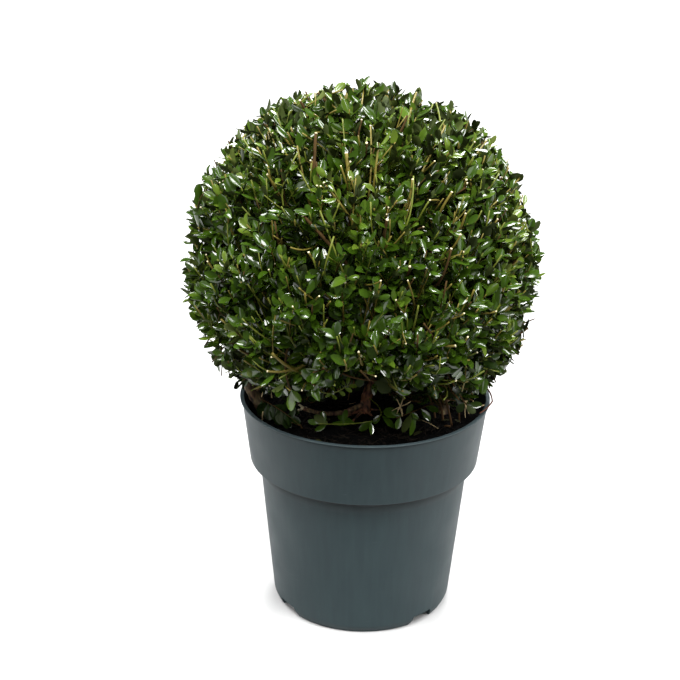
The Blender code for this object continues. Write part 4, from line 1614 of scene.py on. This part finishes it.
    def shoots_to(self, carriers: Limbs, tips: Array, growth: Array, rule: ShootRule) -> Limbs:
        """Shoots that end at given tips.

        Args:
            carriers: The limbs or shoots that they grow from.
            tips: Where they end.
            growth: The way each one grows at its tip.
            rule: How they leave what carries them.

        Returns:
            The shoots.
        """
        foot = tips - growth * self.between(*rule.lengths, (len(tips), 1))
        chosen = carriers.chosen(nearest(carriers.points(np.array((0.7,)))[:, 0], foot))
        share = self.between(rule.earliest, rule.latest, (len(tips), 1))
        start = chosen.points(share)[:, 0]
        length = np.linalg.norm(tips - start, axis=1, keepdims=True)
        control = tips - growth * length * self.between(*rule.knees, (len(tips), 1))
        low = np.minimum(self.between(*rule.radii, len(tips)), chosen.radii(share)[:, 0] * 0.95)
        return Limbs(start, control, tips, low, low * self.between(0.66, 0.92, len(tips)))

    def stubs(self, branches: Limbs) -> Limbs:
        """Older twigs that the shears cut through near the surface."""
        outward = self.astray(fibonacci(self.stub_count), 0.12)
        tips = self.surface(outward, self.between(1.0 * MM, 13.0 * MM, self.stub_count))
        kept = self.inside(tips) & self.bared(outward)
        return self.shoots_to(branches, tips[kept], self.growth(outward, 0.34)[kept], STUBS)

    def clipped(self, branches: Limbs) -> Limbs:
        """The twigs of CLIPPED_TWIGS, each from the nearest branch, through its foot and on to its tip."""
        tips = np.array([twig.tip for twig in CLIPPED_TWIGS]) * MM
        feet = np.array([twig.foot for twig in CLIPPED_TWIGS]) * MM
        radius = np.array([twig.radius for twig in CLIPPED_TWIGS]) * MM
        inward = unit(feet - self.middle)
        places = branches.places(0.4, 7)
        start = places[nearest(places, feet + (feet - tips) * 0.4 - inward * 34.0 * MM)]
        knee = feet + (feet - tips) * 0.2 - inward * 4.0 * MM
        return Limbs(start, knee, tips, radius * 1.1, radius * 0.8)

    def fringe(self, twigs: Limbs) -> Limbs:
        """The shoots that hang at the ball's lower outline."""
        tips, feet = np.array(FRINGE).reshape(-1, 2, 3).transpose(1, 0, 2) * MM
        return self.shoots_to(twigs, tips, unit(tips - feet), FRINGE_SHOOTS)

    def forks(self, shoots: Limbs) -> Limbs:
        """Short bare side shoots that fork off shoots near their tips."""
        rows = np.repeat(np.arange(len(shoots)), 2)
        carrier = shoots.chosen(rows)
        share = self.between(0.45, 0.85, (len(rows), 1))
        start = carrier.points(share)[:, 0]
        way = carrier.ways(share)[:, 0]
        length = self.between(9.0 * MM, 26.0 * MM, (len(rows), 1))
        aside = unit(self.rng.normal(size=way.shape)) * self.between(0.3, 0.7, (len(rows), 1))
        end = start + unit(way + aside + UP * 0.25) * length
        low = carrier.radii(share)[:, 0] * 0.9
        made = Limbs(start, start + unit(way + aside) * length * 0.5, end, low, low * 0.8)
        near = np.linalg.norm(end - self.middle, axis=1) < self.clip_radius + 3.0 * MM
        return made.chosen(self.inside(end) & near)

    def skirt(self, carriers: Limbs) -> Limbs:
        """Low shoots between the ball and the pot, from the lowest limbs, most of them at the sides."""
        count = self.low_shoots
        angle = self.between(0.0, FULL_TURN, count)
        aside = self.between(-0.75, 0.75, count) + self.rng.choice((0.0, math.pi), count)
        angle = np.where(self.some(count, 0.55), aside, angle)
        distance = self.between(0.045, 0.15, count)
        tips = around(angle, distance, self.between(0.0, 1.0, count))
        tips[:, 2] = self.floor_at(tips) + 2.0 * MM + tips[:, 2] ** 1.4 * 46.0 * MM
        tips = tips[self.inside(tips)]
        outward = unit(tips * IN_PLAN + UP * 0.01)
        growth = unit(outward - UP * self.between(-0.25, 0.75, (len(tips), 1)))
        return self.shoots_to(carriers, tips, growth, SKIRT_SHOOTS)

    def leaves_on(self, limbs: Limbs, rule: LeafRule) -> tuple[Leaves, Array]:
        """Leaves set spirally along limbs.

        Args:
            limbs: The shoots or twigs.
            rule: How the leaves are set.

        Returns:
            The leaves, and for each the row of its limb.
        """
        part = rule.last - rule.first
        run = np.linalg.norm(limbs.end - limbs.start, axis=1) * part
        counts = run / (rule.spacing * self.between(0.85, 1.2, len(limbs)))
        counts = np.maximum(1, np.round(counts).astype(int))
        rows = np.repeat(np.arange(len(limbs)), counts)
        count = len(rows)
        order = np.arange(count) - np.repeat(np.cumsum(counts) - counts, counts)
        share = rule.first + part * (order + self.between(0.1, 0.9, count)) / counts[rows]
        carrier = limbs.chosen(rows)
        base = carrier.points(share[:, None])[:, 0]
        way = carrier.ways(share[:, None])[:, 0]
        side = square_to(way)
        turn = (self.between(0.0, FULL_TURN, len(limbs))[rows] + order * GOLDEN_ANGLE)[:, None]
        outward = side * np.cos(turn) + np.cross(way, side) * np.sin(turn)
        high = np.clip((base[:, 2:] - self.middle[2]) / self.clip_radius, 0.0, 1.0)
        lean = np.radians(self.between(24.0, 60.0, (count, 1)) * (1.0 - 0.25 * high))
        heading = way * np.cos(lean) + outward * np.sin(lean)
        face = way * np.sin(lean) - outward * np.cos(lean)
        face = face + unit(base - self.middle) * (0.60 - 0.35 * high) + UP * 0.2
        face = face + self.rng.normal(size=face.shape) * 0.26
        heading = self.astray(heading, 0.10)
        face = squared(face, heading)
        shorter = 1.0 - 0.18 * np.clip((share - 0.85) / 0.15, 0.0, 1.0)
        length = self.between(*rule.lengths, count) * shorter
        shade = np.clip((450.0 * MM - base[:, 2]) / (180.0 * MM), 0.0, 1.0)
        width = length * (self.between(0.38, 0.51, count) + 0.05 * shade)
        fold = self.between(0.22, 0.80, count) * self.rng.choice((-1.0, 1.0), count, p=(0.4, 0.6))
        made = Leaves(base, heading, face, length, width, fold, self.between(-0.14, 0.36, count))
        kept = self.inside(base + heading * length[:, None]) & self.inside(base) & self.open_to_view(made)
        return made.chosen(kept), rows[kept]

    def deal_tones(self, limbs: Limbs) -> Array:
        """A tone for each spray, mostly deep; painted light makes it darker below, brighter at the top and
        sides.
        """
        high = (limbs.end[:, 2] - self.floor) / (2.0 * self.clip_radius)
        aside = np.clip(np.abs(limbs.end[:, 0] - self.middle[0]) / self.clip_radius - 0.55, 0.0, 0.45)
        # Painted light: the score rises with height and towards the sides, so sprays there take brighter
        # tones.
        score = self.between(0.0, 1.0, len(limbs)) + (high - 0.5) * 0.42 + aside * 0.7
        return np.digitize(score, TONE_STEPS)

    def build(self) -> None:
        """Grows the boughs, twigs, shoots and leaves, and makes their pieces."""
        leaders = self.leaders()
        boughs = self.branch(leaders, BOUGHS)
        branches = self.branch(boughs, BRANCHES)
        twigs = self.branch(branches, TWIGS)
        shoots = self.shoots(twigs)
        low_shoots = self.skirt(twigs.joined(leaders))
        clipped = self.clipped(branches.joined(twigs))
        stubs = self.stubs(branches)
        runners = self.runners(twigs)
        low_shoots = low_shoots.joined(self.fringe(twigs))

        wood = Piece("crown_boughs", Slot.BARK, "crown")
        for limbs, rings, sides in ((leaders, 12, 12), (boughs, 12, 10), (branches, 9, 8)):
            wood.add(*limbs.tubes(rings, sides, gnarled(5.0, 0.35, 8)))
        wood.make(GREY_BARK.material())
        fine = Piece("crown_twigs", Slot.BARK, "crown")
        fine.add(*twigs.tubes(7, 6))
        fine.make(Skin.BROWN.value.material())

        high = (shoots.end[:, 2] - self.middle[2]) / self.clip_radius
        bare = self.some(len(shoots), 0.03 + 0.09 * np.clip(high, 0.0, 1.0))
        forks = self.forks(shoots.chosen(bare))
        skin = np.digitize(self.between(0.0, 1.0, len(shoots)), (0.5, 0.85))
        skin[bare] = np.maximum(skin[bare], 1)
        third = np.arange(len(runners)) % 3 == 0
        added = {
            Skin.GREEN: [(runners.chosen(~third), 9, 5)],
            Skin.TAN: [(forks.joined(runners.chosen(third)), 9, 5)],
            Skin.BROWN: [(low_shoots, 6, 5), (stubs, 8, 7)],
        }
        for index, finish in enumerate(Skin):
            piece = Piece(f"shoots_{finish.name.lower()}", Slot.FOLIAGE, "crown")
            piece.add(*shoots.chosen(skin == index).tubes(6, 4))
            shown = clipped.chosen(np.array([twig.skin is finish for twig in CLIPPED_TWIGS]))
            piece.add(*shown.tubes(16, 7, gnarled(4.0, 0.12, 71)))
            for limbs, rings, sides in added[finish]:
                piece.add(*limbs.tubes(rings, sides))
            piece.make(finish.value.material())
        clean = clipped.chosen(np.array([twig.cut for twig in CLIPPED_TWIGS]))
        self.make_cuts(shoots, stubs.joined(clean), forks)

        sprigs = LowSprigs(self.stems, twigs.joined(branches))
        self.clear += sprigs.clearings()
        self.make_leaves(shoots, bare, runners, twigs.joined(stubs), low_shoots)
        sprigs.build()
        Litter(twigs.joined(branches).joined(low_shoots)).build()

    def make_cuts(self, shoots: Limbs, stubs: Limbs, forks: Limbs) -> None:
        """The pale faces that the shears left on the older twigs and on some shoots."""
        cut = shoots.chosen(self.some(len(shoots), 0.06)).joined(stubs)
        cut = cut.joined(forks.chosen(self.some(len(forks), 0.3)))
        cut.high_radius = np.maximum(cut.high_radius * 1.12, 0.9 * MM)
        piece = Piece("shoot_cuts", Slot.FOLIAGE, "crown")
        piece.add(*end_caps(cut, 0.6 * MM))
        piece.make(CUT_WOOD.material())

    def make_leaves(
        self, shoots: Limbs, bare: Array, runners: Limbs, inner: Limbs, low_shoots: Limbs
    ) -> None:
        """Makes the leaves, as one piece for each tone.

        Args:
            shoots: The shoots.
            bare: True for those with few leaves.
            runners: The long shoots near the surface.
            inner: The twigs and stubs, whose leaves all have the darkest tone.
            low_shoots: The shoots under the ball.
        """
        tones = self.deal_tones(shoots)
        leafy, rows = self.leaves_on(shoots.chosen(~bare), FULL_LEAVES)
        dealt = [(leafy, tones[~bare][rows])]
        sparse, rows = self.leaves_on(shoots.chosen(bare), SPARSE_LEAVES)
        dealt.append((sparse, np.minimum(tones[bare][rows], 3)))
        climbing, rows = self.leaves_on(runners, RUNNER_LEAVES)
        dealt.append((climbing, self.deal_tones(runners)[rows]))
        shaded, rows = self.leaves_on(inner, INNER_LEAVES)
        dealt.append((shaded, np.zeros(len(rows), dtype=int)))
        hanging, rows = self.leaves_on(low_shoots, HANGING_LEAVES)
        dealt.append((hanging, self.rng.choice(len(LOW_TONES), len(low_shoots), p=LOW_TONES)[rows]))
        for index, tone in enumerate(Tone):
            piece = Piece(f"leaves_{tone.name.lower()}", Slot.FOLIAGE, "crown")
            for leaves, tone_rows in dealt:
                piece.add_leaves(leaves.chosen(tone_rows == index))
            piece.make(*tone.value.materials())


# The low sprigs


@dataclass(frozen=True)
class Sprig:
    """One leafy twig that hangs clear under the ball or over the compost.

    Its bend, its tip, its radius and the height where it leaves a stem are in millimetres.
    """

    name: str
    bend: Point
    tip: Point
    radius: float
    tone: Tone
    carrier: str = ""
    height: float = 0.0
    skin: Skin = Skin.BROWN


LOW_SPRIGS = (
    Sprig("spray_front", (52, -67, 240), (-50, -72, 244), 0.8, Tone.MID, "stem_centre", 244.5, Skin.GREEN),
    Sprig("spray_front_right", (66, -50, 256), (34, -66, 250), 0.8, Tone.MID, "stem_right", 246),
    # spray_left hangs in the ball's shade and takes the darkest tone as painted shade.
    Sprig("spray_left", (-90, -50, 252), (-66, -86, 245), 0.42, Tone.OLD, "stem_left", 248),
    Sprig("cut_left", (-91, -156, 356), (-76, -130, 308), 1.4, Tone.BRIGHT),
    Sprig("young", (-40, -112, 288), (-18, -130, 315), 0.7, Tone.FRESH, skin=Skin.GREEN),
    Sprig("front", (-20, -140, 326), (12, -128, 320), 1.2, Tone.DEEP),
    Sprig("right", (100, -85, 285), (112, -75, 268), 1.2, Tone.DEEP),
)

# The leaves of each sprig: share along the twig, azimuth from the front and elevation of the leaf in
# degrees, length and width in millimetres, and 1 where its upper side is seen from the front or -1.
SPRIG_LEAVES: dict[str, tuple[Row, ...]] = {
    "spray_front": (
        (0.36, -52, -40, 12.4, 7, 1), (0.38, 60, -31, 18.3, 9, 1), (0.56, -67, -28, 18.2, 9, 1),
        (0.61, 11, -52, 13.7, 8, 1), (0.76, -84, 0, 24.0, 9.5, 1), (0.75, -101, 12, 20.9, 8, 1),
        (0.85, 161, 55, 14.7, 7, 1), (0.94, -103, 23, 16.7, 10, -1), (0.95, -67, -22, 13.6, 7, 1),
        (0.99, -94, 13, 12.2, 7, 1), (0.96, -151, 54, 13.6, 8, 1),
    ),
    "spray_front_right": (
        (0.72, -38, -51, 22.5, 12, -1), (0.69, 1, -50, 24.0, 9, 1), (0.74, 59, -26, 9.5, 6, 1),
        (0.83, 132, 44, 12.7, 7, 1), (0.56, 58, -41, 15.5, 9, 1), (0.47, 81, -14, 14.4, 8, 1),
        (0.92, -110, 27, 12.4, 8, 1), (0.89, -102, 10, 19.7, 13, 1), (0.34, -152, 50, 10.0, 9, 1),
        (0.16, 101, 21, 14.1, 9, -1), (0.92, -32, -57, 13.3, 8, 1),
    ),
    "spray_left": (
        (0.10, -30, -66, 17.0, 9, 1), (0.22, 4, -70, 18.0, 10, 1), (0.30, -10, -62, 16.0, 9, 1),
        (0.36, 60, -64, 17.0, 9, 1), (0.45, -4, -74, 17.5, 10, 1), (0.50, 20, -60, 15.0, 9, -1),
        (0.60, 14, -66, 15.5, 9, 1), (0.64, 70, 20, 14.0, 8, 1), (0.14, 10, -52, 18.6, 10, 1),
        (0.27, 34, -48, 18.3, 10, 1), (0.40, 28, -48, 19.4, 10, -1), (0.55, 42, -45, 17.7, 10, 1),
        (0.33, 86, -15, 15.0, 9, 1), (0.20, -74, -34, 12.1, 8, 1), (0.69, 69, -25, 13.2, 9, 1),
        (0.77, -176, 50, 15.5, 8, 1), (0.49, 117, 32, 19.3, 9, 1),
    ),
    "cut_left": (
        (0.86, -96, -40, 18.6, 13.0, -1), (0.95, -100, 12, 15.7, 7, 1), (0.98, 62, -43, 15.4, 9, 1),
        (0.73, -118, 34, 15.6, 8, 1), (0.78, 109, 23, 20.1, 8, 1), (0.54, -102, 13, 12.0, 8, 1),
        (0.60, 115, 23, 16.7, 9, 1), (0.90, -125, 31, 13.6, 8, 1), (1.00, 3, -60, 19.3, 10, 1),
    ),
    "young": (
        (0.55, 81, -37, 8.8, 4.0, 1), (0.70, -124, 45, 8.0, 4.0, 1), (0.78, 84, -32, 7.9, 4.5, 1),
        (0.85, -124, 44, 8.9, 4.5, 1), (0.93, 87, -28, 8.5, 5.0, 1), (0.99, 89, -2, 9.9, 5.5, 1),
        (0.99, 156, 65, 8.9, 4.5, 1), (0.63, -83, -28, 8.4, 3.5, 1), (0.96, -123, 44, 9.9, 4.5, 1),
    ),
    "front": (
        (0.94, 81, -33, 18.9, 14, -1), (1.00, -39, -56, 13.6, 10, 1), (1.00, 96, 1, 19.7, 13, -1),
        (0.80, -82, -31, 10.2, 9, 1), (0.52, -128, 40, 14.9, 8, 1), (0.64, 128, 41, 17.3, 8, 1),
        (0.33, -52, -54, 15.2, 9, 1), (1.00, 127, 43, 13.9, 8, 1), (0.88, 136, 51, 16.6, 8, 1),
    ),
    "right": (
        (0.22, -72, -47, 14.7, 10, 1), (0.33, 49, -54, 10.6, 10, 1), (0.46, 99, 22, 18.7, 9, 1),
        (0.62, 91, 5, 17.6, 9, 1), (0.78, -64, -48, 12.3, 9, 1), (0.85, 58, -37, 12.3, 9, -1),
        (0.87, 86, 3, 15.2, 8, 1), (0.15, -85, -28, 15.1, 9, 1), (0.52, 122, 45, 19.2, 8, 1),
    ),
}


@dataclass
class LowSprigs:
    """The sprigs that hang under the ball, each on its stem or on the nearest bough or twig."""

    stems: StemSet
    limbs: Limbs
    seed: int = 5

    def clearings(self) -> list[tuple[Array, Array, float, float]]:
        """The middle line, clear width and depth in millimetres of each of the sprigs' leaves."""
        rng = np.random.default_rng(self.seed)
        found = []
        for sprig in LOW_SPRIGS:
            leaves = self.leaves_of(sprig, self.twig_of(sprig), rng)
            ends = leaves.base + leaves.heading * leaves.length[:, None] * 0.8
            rows = zip(leaves.base / MM, ends / MM, leaves.width * 0.3 / MM)
            found += [(*row, 1.0) for row in rows]
        return found

    def twig_of(self, sprig: Sprig) -> Limbs:
        """The twig of one sprig, from its stem or from the limb that is nearest to where it points back."""
        bend, tip = np.array(sprig.bend) * MM, np.array(sprig.tip) * MM
        if sprig.carrier:
            start = self.stems.seat(sprig.carrier, sprig.height * MM)
        else:
            places = self.limbs.places(0.3, 8)
            start = places[nearest(places, bend * 2.0 - tip)]
        return one_limb(start, bend, tip, sprig.radius * MM, sprig.radius * MM * 0.6)

    def leaves_of(self, sprig: Sprig, twig: Limbs, rng: np.random.Generator) -> Leaves:
        """The leaves of one sprig, each on its place along the twig.

        Args:
            sprig: The sprig.
            twig: Its twig.
            rng: The seeded choices.

        Returns:
            The leaves.
        """
        share, azimuth, elevation, length, width, shown = np.array(SPRIG_LEAVES[sprig.name]).T
        turn, rise = np.radians(azimuth), np.radians(elevation)
        level = np.cos(rise)
        heading = np.stack((level * np.sin(turn), -level * np.cos(turn), np.sin(rise)), axis=1)
        face = np.array((0.0, -0.75, 0.65)) + rng.normal(size=heading.shape) * 0.35
        face = squared(face, heading) * shown[:, None]
        fold = rng.uniform(0.05, 0.45, len(share))
        droop = rng.uniform(0.0, 0.25, len(share))
        base = twig.points(share)[0]
        return Leaves(base, heading, face, length * 1.1 * MM, width * 0.95 * MM, fold, droop)

    def build(self) -> None:
        """Makes each sprig's twig and its leaves."""
        rng = np.random.default_rng(self.seed)
        for sprig in LOW_SPRIGS:
            replaced = (sprig.name,) if sprig.carrier else ()
            twig = self.twig_of(sprig)
            wood = Piece(f"{sprig.name}_twig", Slot.FOLIAGE, *replaced)
            wood.add(*twig.tubes(14, 8, gnarled(2.5, 0.12, 31)))
            wood.make(sprig.skin.value.material())
            foliage = Piece(f"{sprig.name}_leaves", Slot.FOLIAGE, *replaced)
            foliage.add_leaves(self.leaves_of(sprig, twig, rng))
            foliage.make(*sprig.tone.value.materials())


# The dead twigs and the fallen leaves

# Dry stalks, stubs and straws under the ball, by their finish: start, bend, end and radius in millimetres.
# The rows without a start hang from the nearest limb.
DEAD_TWIGS: dict[ShootFinish, tuple[Row, ...]] = {
    STRAW: (
        (-113.2, -38.1, 226, -112.8, -37.8, 234, -112, -37.2, 241.2, 0.9),
        (-106.4, -50, 289.4, -112.5, -50, 264.5, 0.6),
        (-104.2, -50, 287.1, -101.1, -50, 263.5, 0.6),
        (118.3, -60, 260.1, 129.7, -50, 260.6, 0.5),
        (41, -63, 251, 39.5, -64, 258, 38.3, -64, 262.8, 0.6),
        (38.3, -64, 262.8, 36.2, -64.4, 269, 32.6, -65, 274.8, 0.6),
        (38.3, -64, 262.8, 40.2, -63.6, 268, 41.6, -63, 273.1, 0.6),
        (38.3, -64, 262.8, 34, -65, 261.2, 29.4, -65.5, 258.2, 0.5),
        (38.3, -64, 262.8, 40.2, -64.8, 259.2, 41.2, -66, 254.9, 0.7),
        (38.3, -64, 262.8, 36, -66, 260, 35, -67, 256, 0.6),
        (38.3, -64, 262.8, 44, -64, 265, 50, -63, 269, 0.6),
        (109.6, -58.5, 270, 108.9, -60, 267.6, 0.6),
        (108.9, -60, 267.6, 106, -60.4, 270.6, 103.7, -60.6, 272.3, 0.6),
        (108.9, -60, 267.6, 111.2, -59.8, 270, 112.7, -59.6, 271.6, 0.6),
        (108.9, -60, 267.6, 106.8, -60.6, 266.2, 104.9, -61, 264.5, 0.6),
        (108.9, -60, 267.6, 109.4, -61, 262, 113, -62, 255.2, 0.5),
        (108.9, -60, 267.6, 108, -61.5, 260, 109.1, -63, 250.8, 0.5),
        (63, -23.7, 229.2, 72.5, -34.5, 230.6, 81, -46.4, 229.4, 0.6),
    ),
    RED_TWIG: (
        (139.5, -22, 266.8, 140.5, -30, 255.6, 1.1),
        (140.5, -29, 256.2, 134.5, -49, 256, 124.5, -60, 255.2, 0.9),
    ),
    BROWN_TWIG: (
        (87.6, -19.7, 226, 86, -33, 246, 79, -50, 270, 1.5),
        (97.1, -32.5, 226, 93, -42, 248, 86, -56, 273, 1.3),
        (79, -12, 226, 77, -23, 245, 69, -40, 270, 1.2),
        (106, -22, 226, 104, -30, 246, 101, -42, 268, 1.1),
        (89.1, -38.2, 229, 92, -40, 231, 95, -41, 229.5, 1.5),
        (-90, -30, 228.8, -81, -42, 231, -69, -46, 229.2, 1.0),
        (-101, -18, 228.8, -96, -29, 232, -98, -42, 229.2, 1.3),
    ),
}


@dataclass
class Litter:
    """Dead stalks under the ball, and the leaves that fell on the compost."""

    limbs: Limbs
    ground: float = 229.5 * MM
    fallen: int = 13
    seed: int = 44

    def build(self) -> None:
        """Makes one piece of dead stalks for each finish, and the fallen leaves."""
        places = self.limbs.places(0.3, 8)
        for finish, rows in DEAD_TWIGS.items():
            piece = Piece(finish.name, Slot.BARK)
            for *numbers, radius in rows:
                points = np.array(numbers).reshape(-1, 3) * MM
                start = points[0] if len(points) == 3 else places[nearest(places, points[0])]
                limb = one_limb(start, points[-2], points[-1], radius * MM, radius * MM * 0.8)
                piece.add(*limb.tubes(12, 7, gnarled(4.0, 0.12, 51)))
            piece.make(finish.material())
        self.fallen_leaves()

    def fallen_leaves(self) -> None:
        """Lays a few leaves flat on the compost."""
        rng = np.random.default_rng(self.seed)
        count = self.fallen
        angle = rng.uniform(0.0, FULL_TURN, count)
        base = around(angle, rng.uniform(0.05, 0.118, count), self.ground)
        way = rng.uniform(0.0, FULL_TURN, count)
        heading = unit(around(way, 1.0, rng.uniform(0.02, 0.2, count)))
        face = squared(rng.normal(size=base.shape) * 0.15 + UP, heading)
        length = rng.uniform(9.0, 16.0, count) * MM
        fold = rng.uniform(0.1, 0.5, count)
        piece = Piece("fallen_leaves", Slot.FOLIAGE)
        piece.add_leaves(Leaves(base, heading, face, length, length * 0.5, fold, np.zeros(count)))
        piece.make(*FALLEN_LEAF.materials())


# The photographer's studio

# The soft lights: height above the horizon and side from the front towards +X in degrees, irradiance, and
# how wide each looks from the plant in degrees.
LIGHTS = {
    "key": (66.0, -30.0, 3.9, 22.0),
    "second_key": (58.0, 44.0, 3.35, 22.0),
    "back_light": (50.0, 172.0, 5.1, 24.0),
    "left_fill": (32.0, -66.0, 1.48, 10.0),
    "right_fill": (30.0, 62.0, 1.70, 10.0),
    "left_edge": (36.0, -124.0, 1.7, 20.0),
    "right_edge": (36.0, 124.0, 1.8, 20.0),
    "front_fill": (26.0, -4.0, 0.60, 30.0),
}


@dataclass
class Studio:
    """A pale floor, soft lights from above and all round, and the camera of the photograph."""

    camera_at: Point = CAMERA_AT
    pitch_deg: float = 21.5833
    yaw_deg: float = -1.0916
    roll_deg: float = 0.7843
    lens_mm: float = 77.746
    sensor_mm: float = 36.0
    floor_size: float = 60.0
    lit_front: float = 0.42
    floor_colour: str = "#a4a4a4"
    world_strength: float = 0.12

    def build(self) -> None:
        """Sets up the whole studio."""
        bpy.context.scene.view_settings.view_transform = "Standard"
        self.set_camera()
        self.set_floor()
        self.set_world()
        self.add_lights()

    def set_camera(self) -> None:
        """Places the camera at the photograph's own position and angle."""
        pitch, yaw, roll = (math.radians(a) for a in (self.pitch_deg, self.yaw_deg, self.roll_deg))
        ahead = Vector((math.cos(pitch) * math.sin(yaw), math.cos(pitch) * math.cos(yaw), -math.sin(pitch)))
        level = Vector((math.cos(yaw), -math.sin(yaw), 0.0))
        above = level.cross(ahead)
        right = level * math.cos(roll) + above * math.sin(roll)
        top = above * math.cos(roll) - level * math.sin(roll)
        turned = Matrix((right, top, -ahead)).transposed()
        camera = linked("camera", bpy.data.cameras.new("camera"))
        camera.data.lens = self.lens_mm
        camera.data.sensor_width = self.sensor_mm
        camera.matrix_world = Matrix.Translation(self.camera_at) @ turned.to_4x4()
        bpy.context.scene.camera = camera

    def set_floor(self) -> None:
        """Lays the pale floor, whose front part isn't seen in gloss and throws no light back."""
        half = self.floor_size / 2.0
        made, tree, shader = new_material("white_painted_floor")
        fill_inputs(tree, shader, Base_Color=linear(self.floor_colour))
        fill_inputs(tree, shader, Roughness=0.9, Specular_IOR_Level=0.1)
        parts = (("floor", -self.lit_front, half), ("floor_front", -half, -self.lit_front))
        for name, front, back in parts:
            mesh = bpy.data.meshes.new(name)
            corners = [(-half, front, 0.0), (half, front, 0.0), (half, back, 0.0), (-half, back, 0.0)]
            mesh.from_pydata(corners, [], [(0, 1, 2, 3)])
            mesh.materials.append(made)
            floor = linked(name, mesh)
            floor.visible_glossy = floor.visible_diffuse = name == "floor"

    def set_world(self) -> None:
        """Lights the room with an even pale white."""
        world = bpy.data.worlds.new("studio")
        world.use_nodes = True
        background = world.node_tree.nodes["Background"]
        background.inputs["Color"].default_value = (1.0, 1.0, 1.0, 1.0)
        background.inputs["Strength"].default_value = self.world_strength
        bpy.context.scene.world = world

    def add_lights(self) -> None:
        """Adds the soft lights, all of them far away."""
        for name, (elevation_deg, azimuth_deg, strength, size_deg) in LIGHTS.items():
            light = bpy.data.lights.new(name, "SUN")
            light.energy = strength
            light.angle = math.radians(size_deg)
            lamp = linked(name, light)
            level = math.cos(math.radians(elevation_deg))
            source = Vector(polar(azimuth_deg, level, math.sin(math.radians(elevation_deg))))
            lamp.rotation_mode = "QUATERNION"
            lamp.rotation_quaternion = source.to_track_quat("Z", "Y")


def main() -> None:
    """Builds the studio and the plant from the pot up."""
    logging.basicConfig(level=logging.INFO, format="%(name)s: %(message)s")
    Studio().build()
    pot = NurseryPot()
    pot.build()
    CompostBed(pot).build()
    stems = StemSet()
    stems.build()
    Crown(stems).build()
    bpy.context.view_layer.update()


if __name__ == "__main__":
    main()
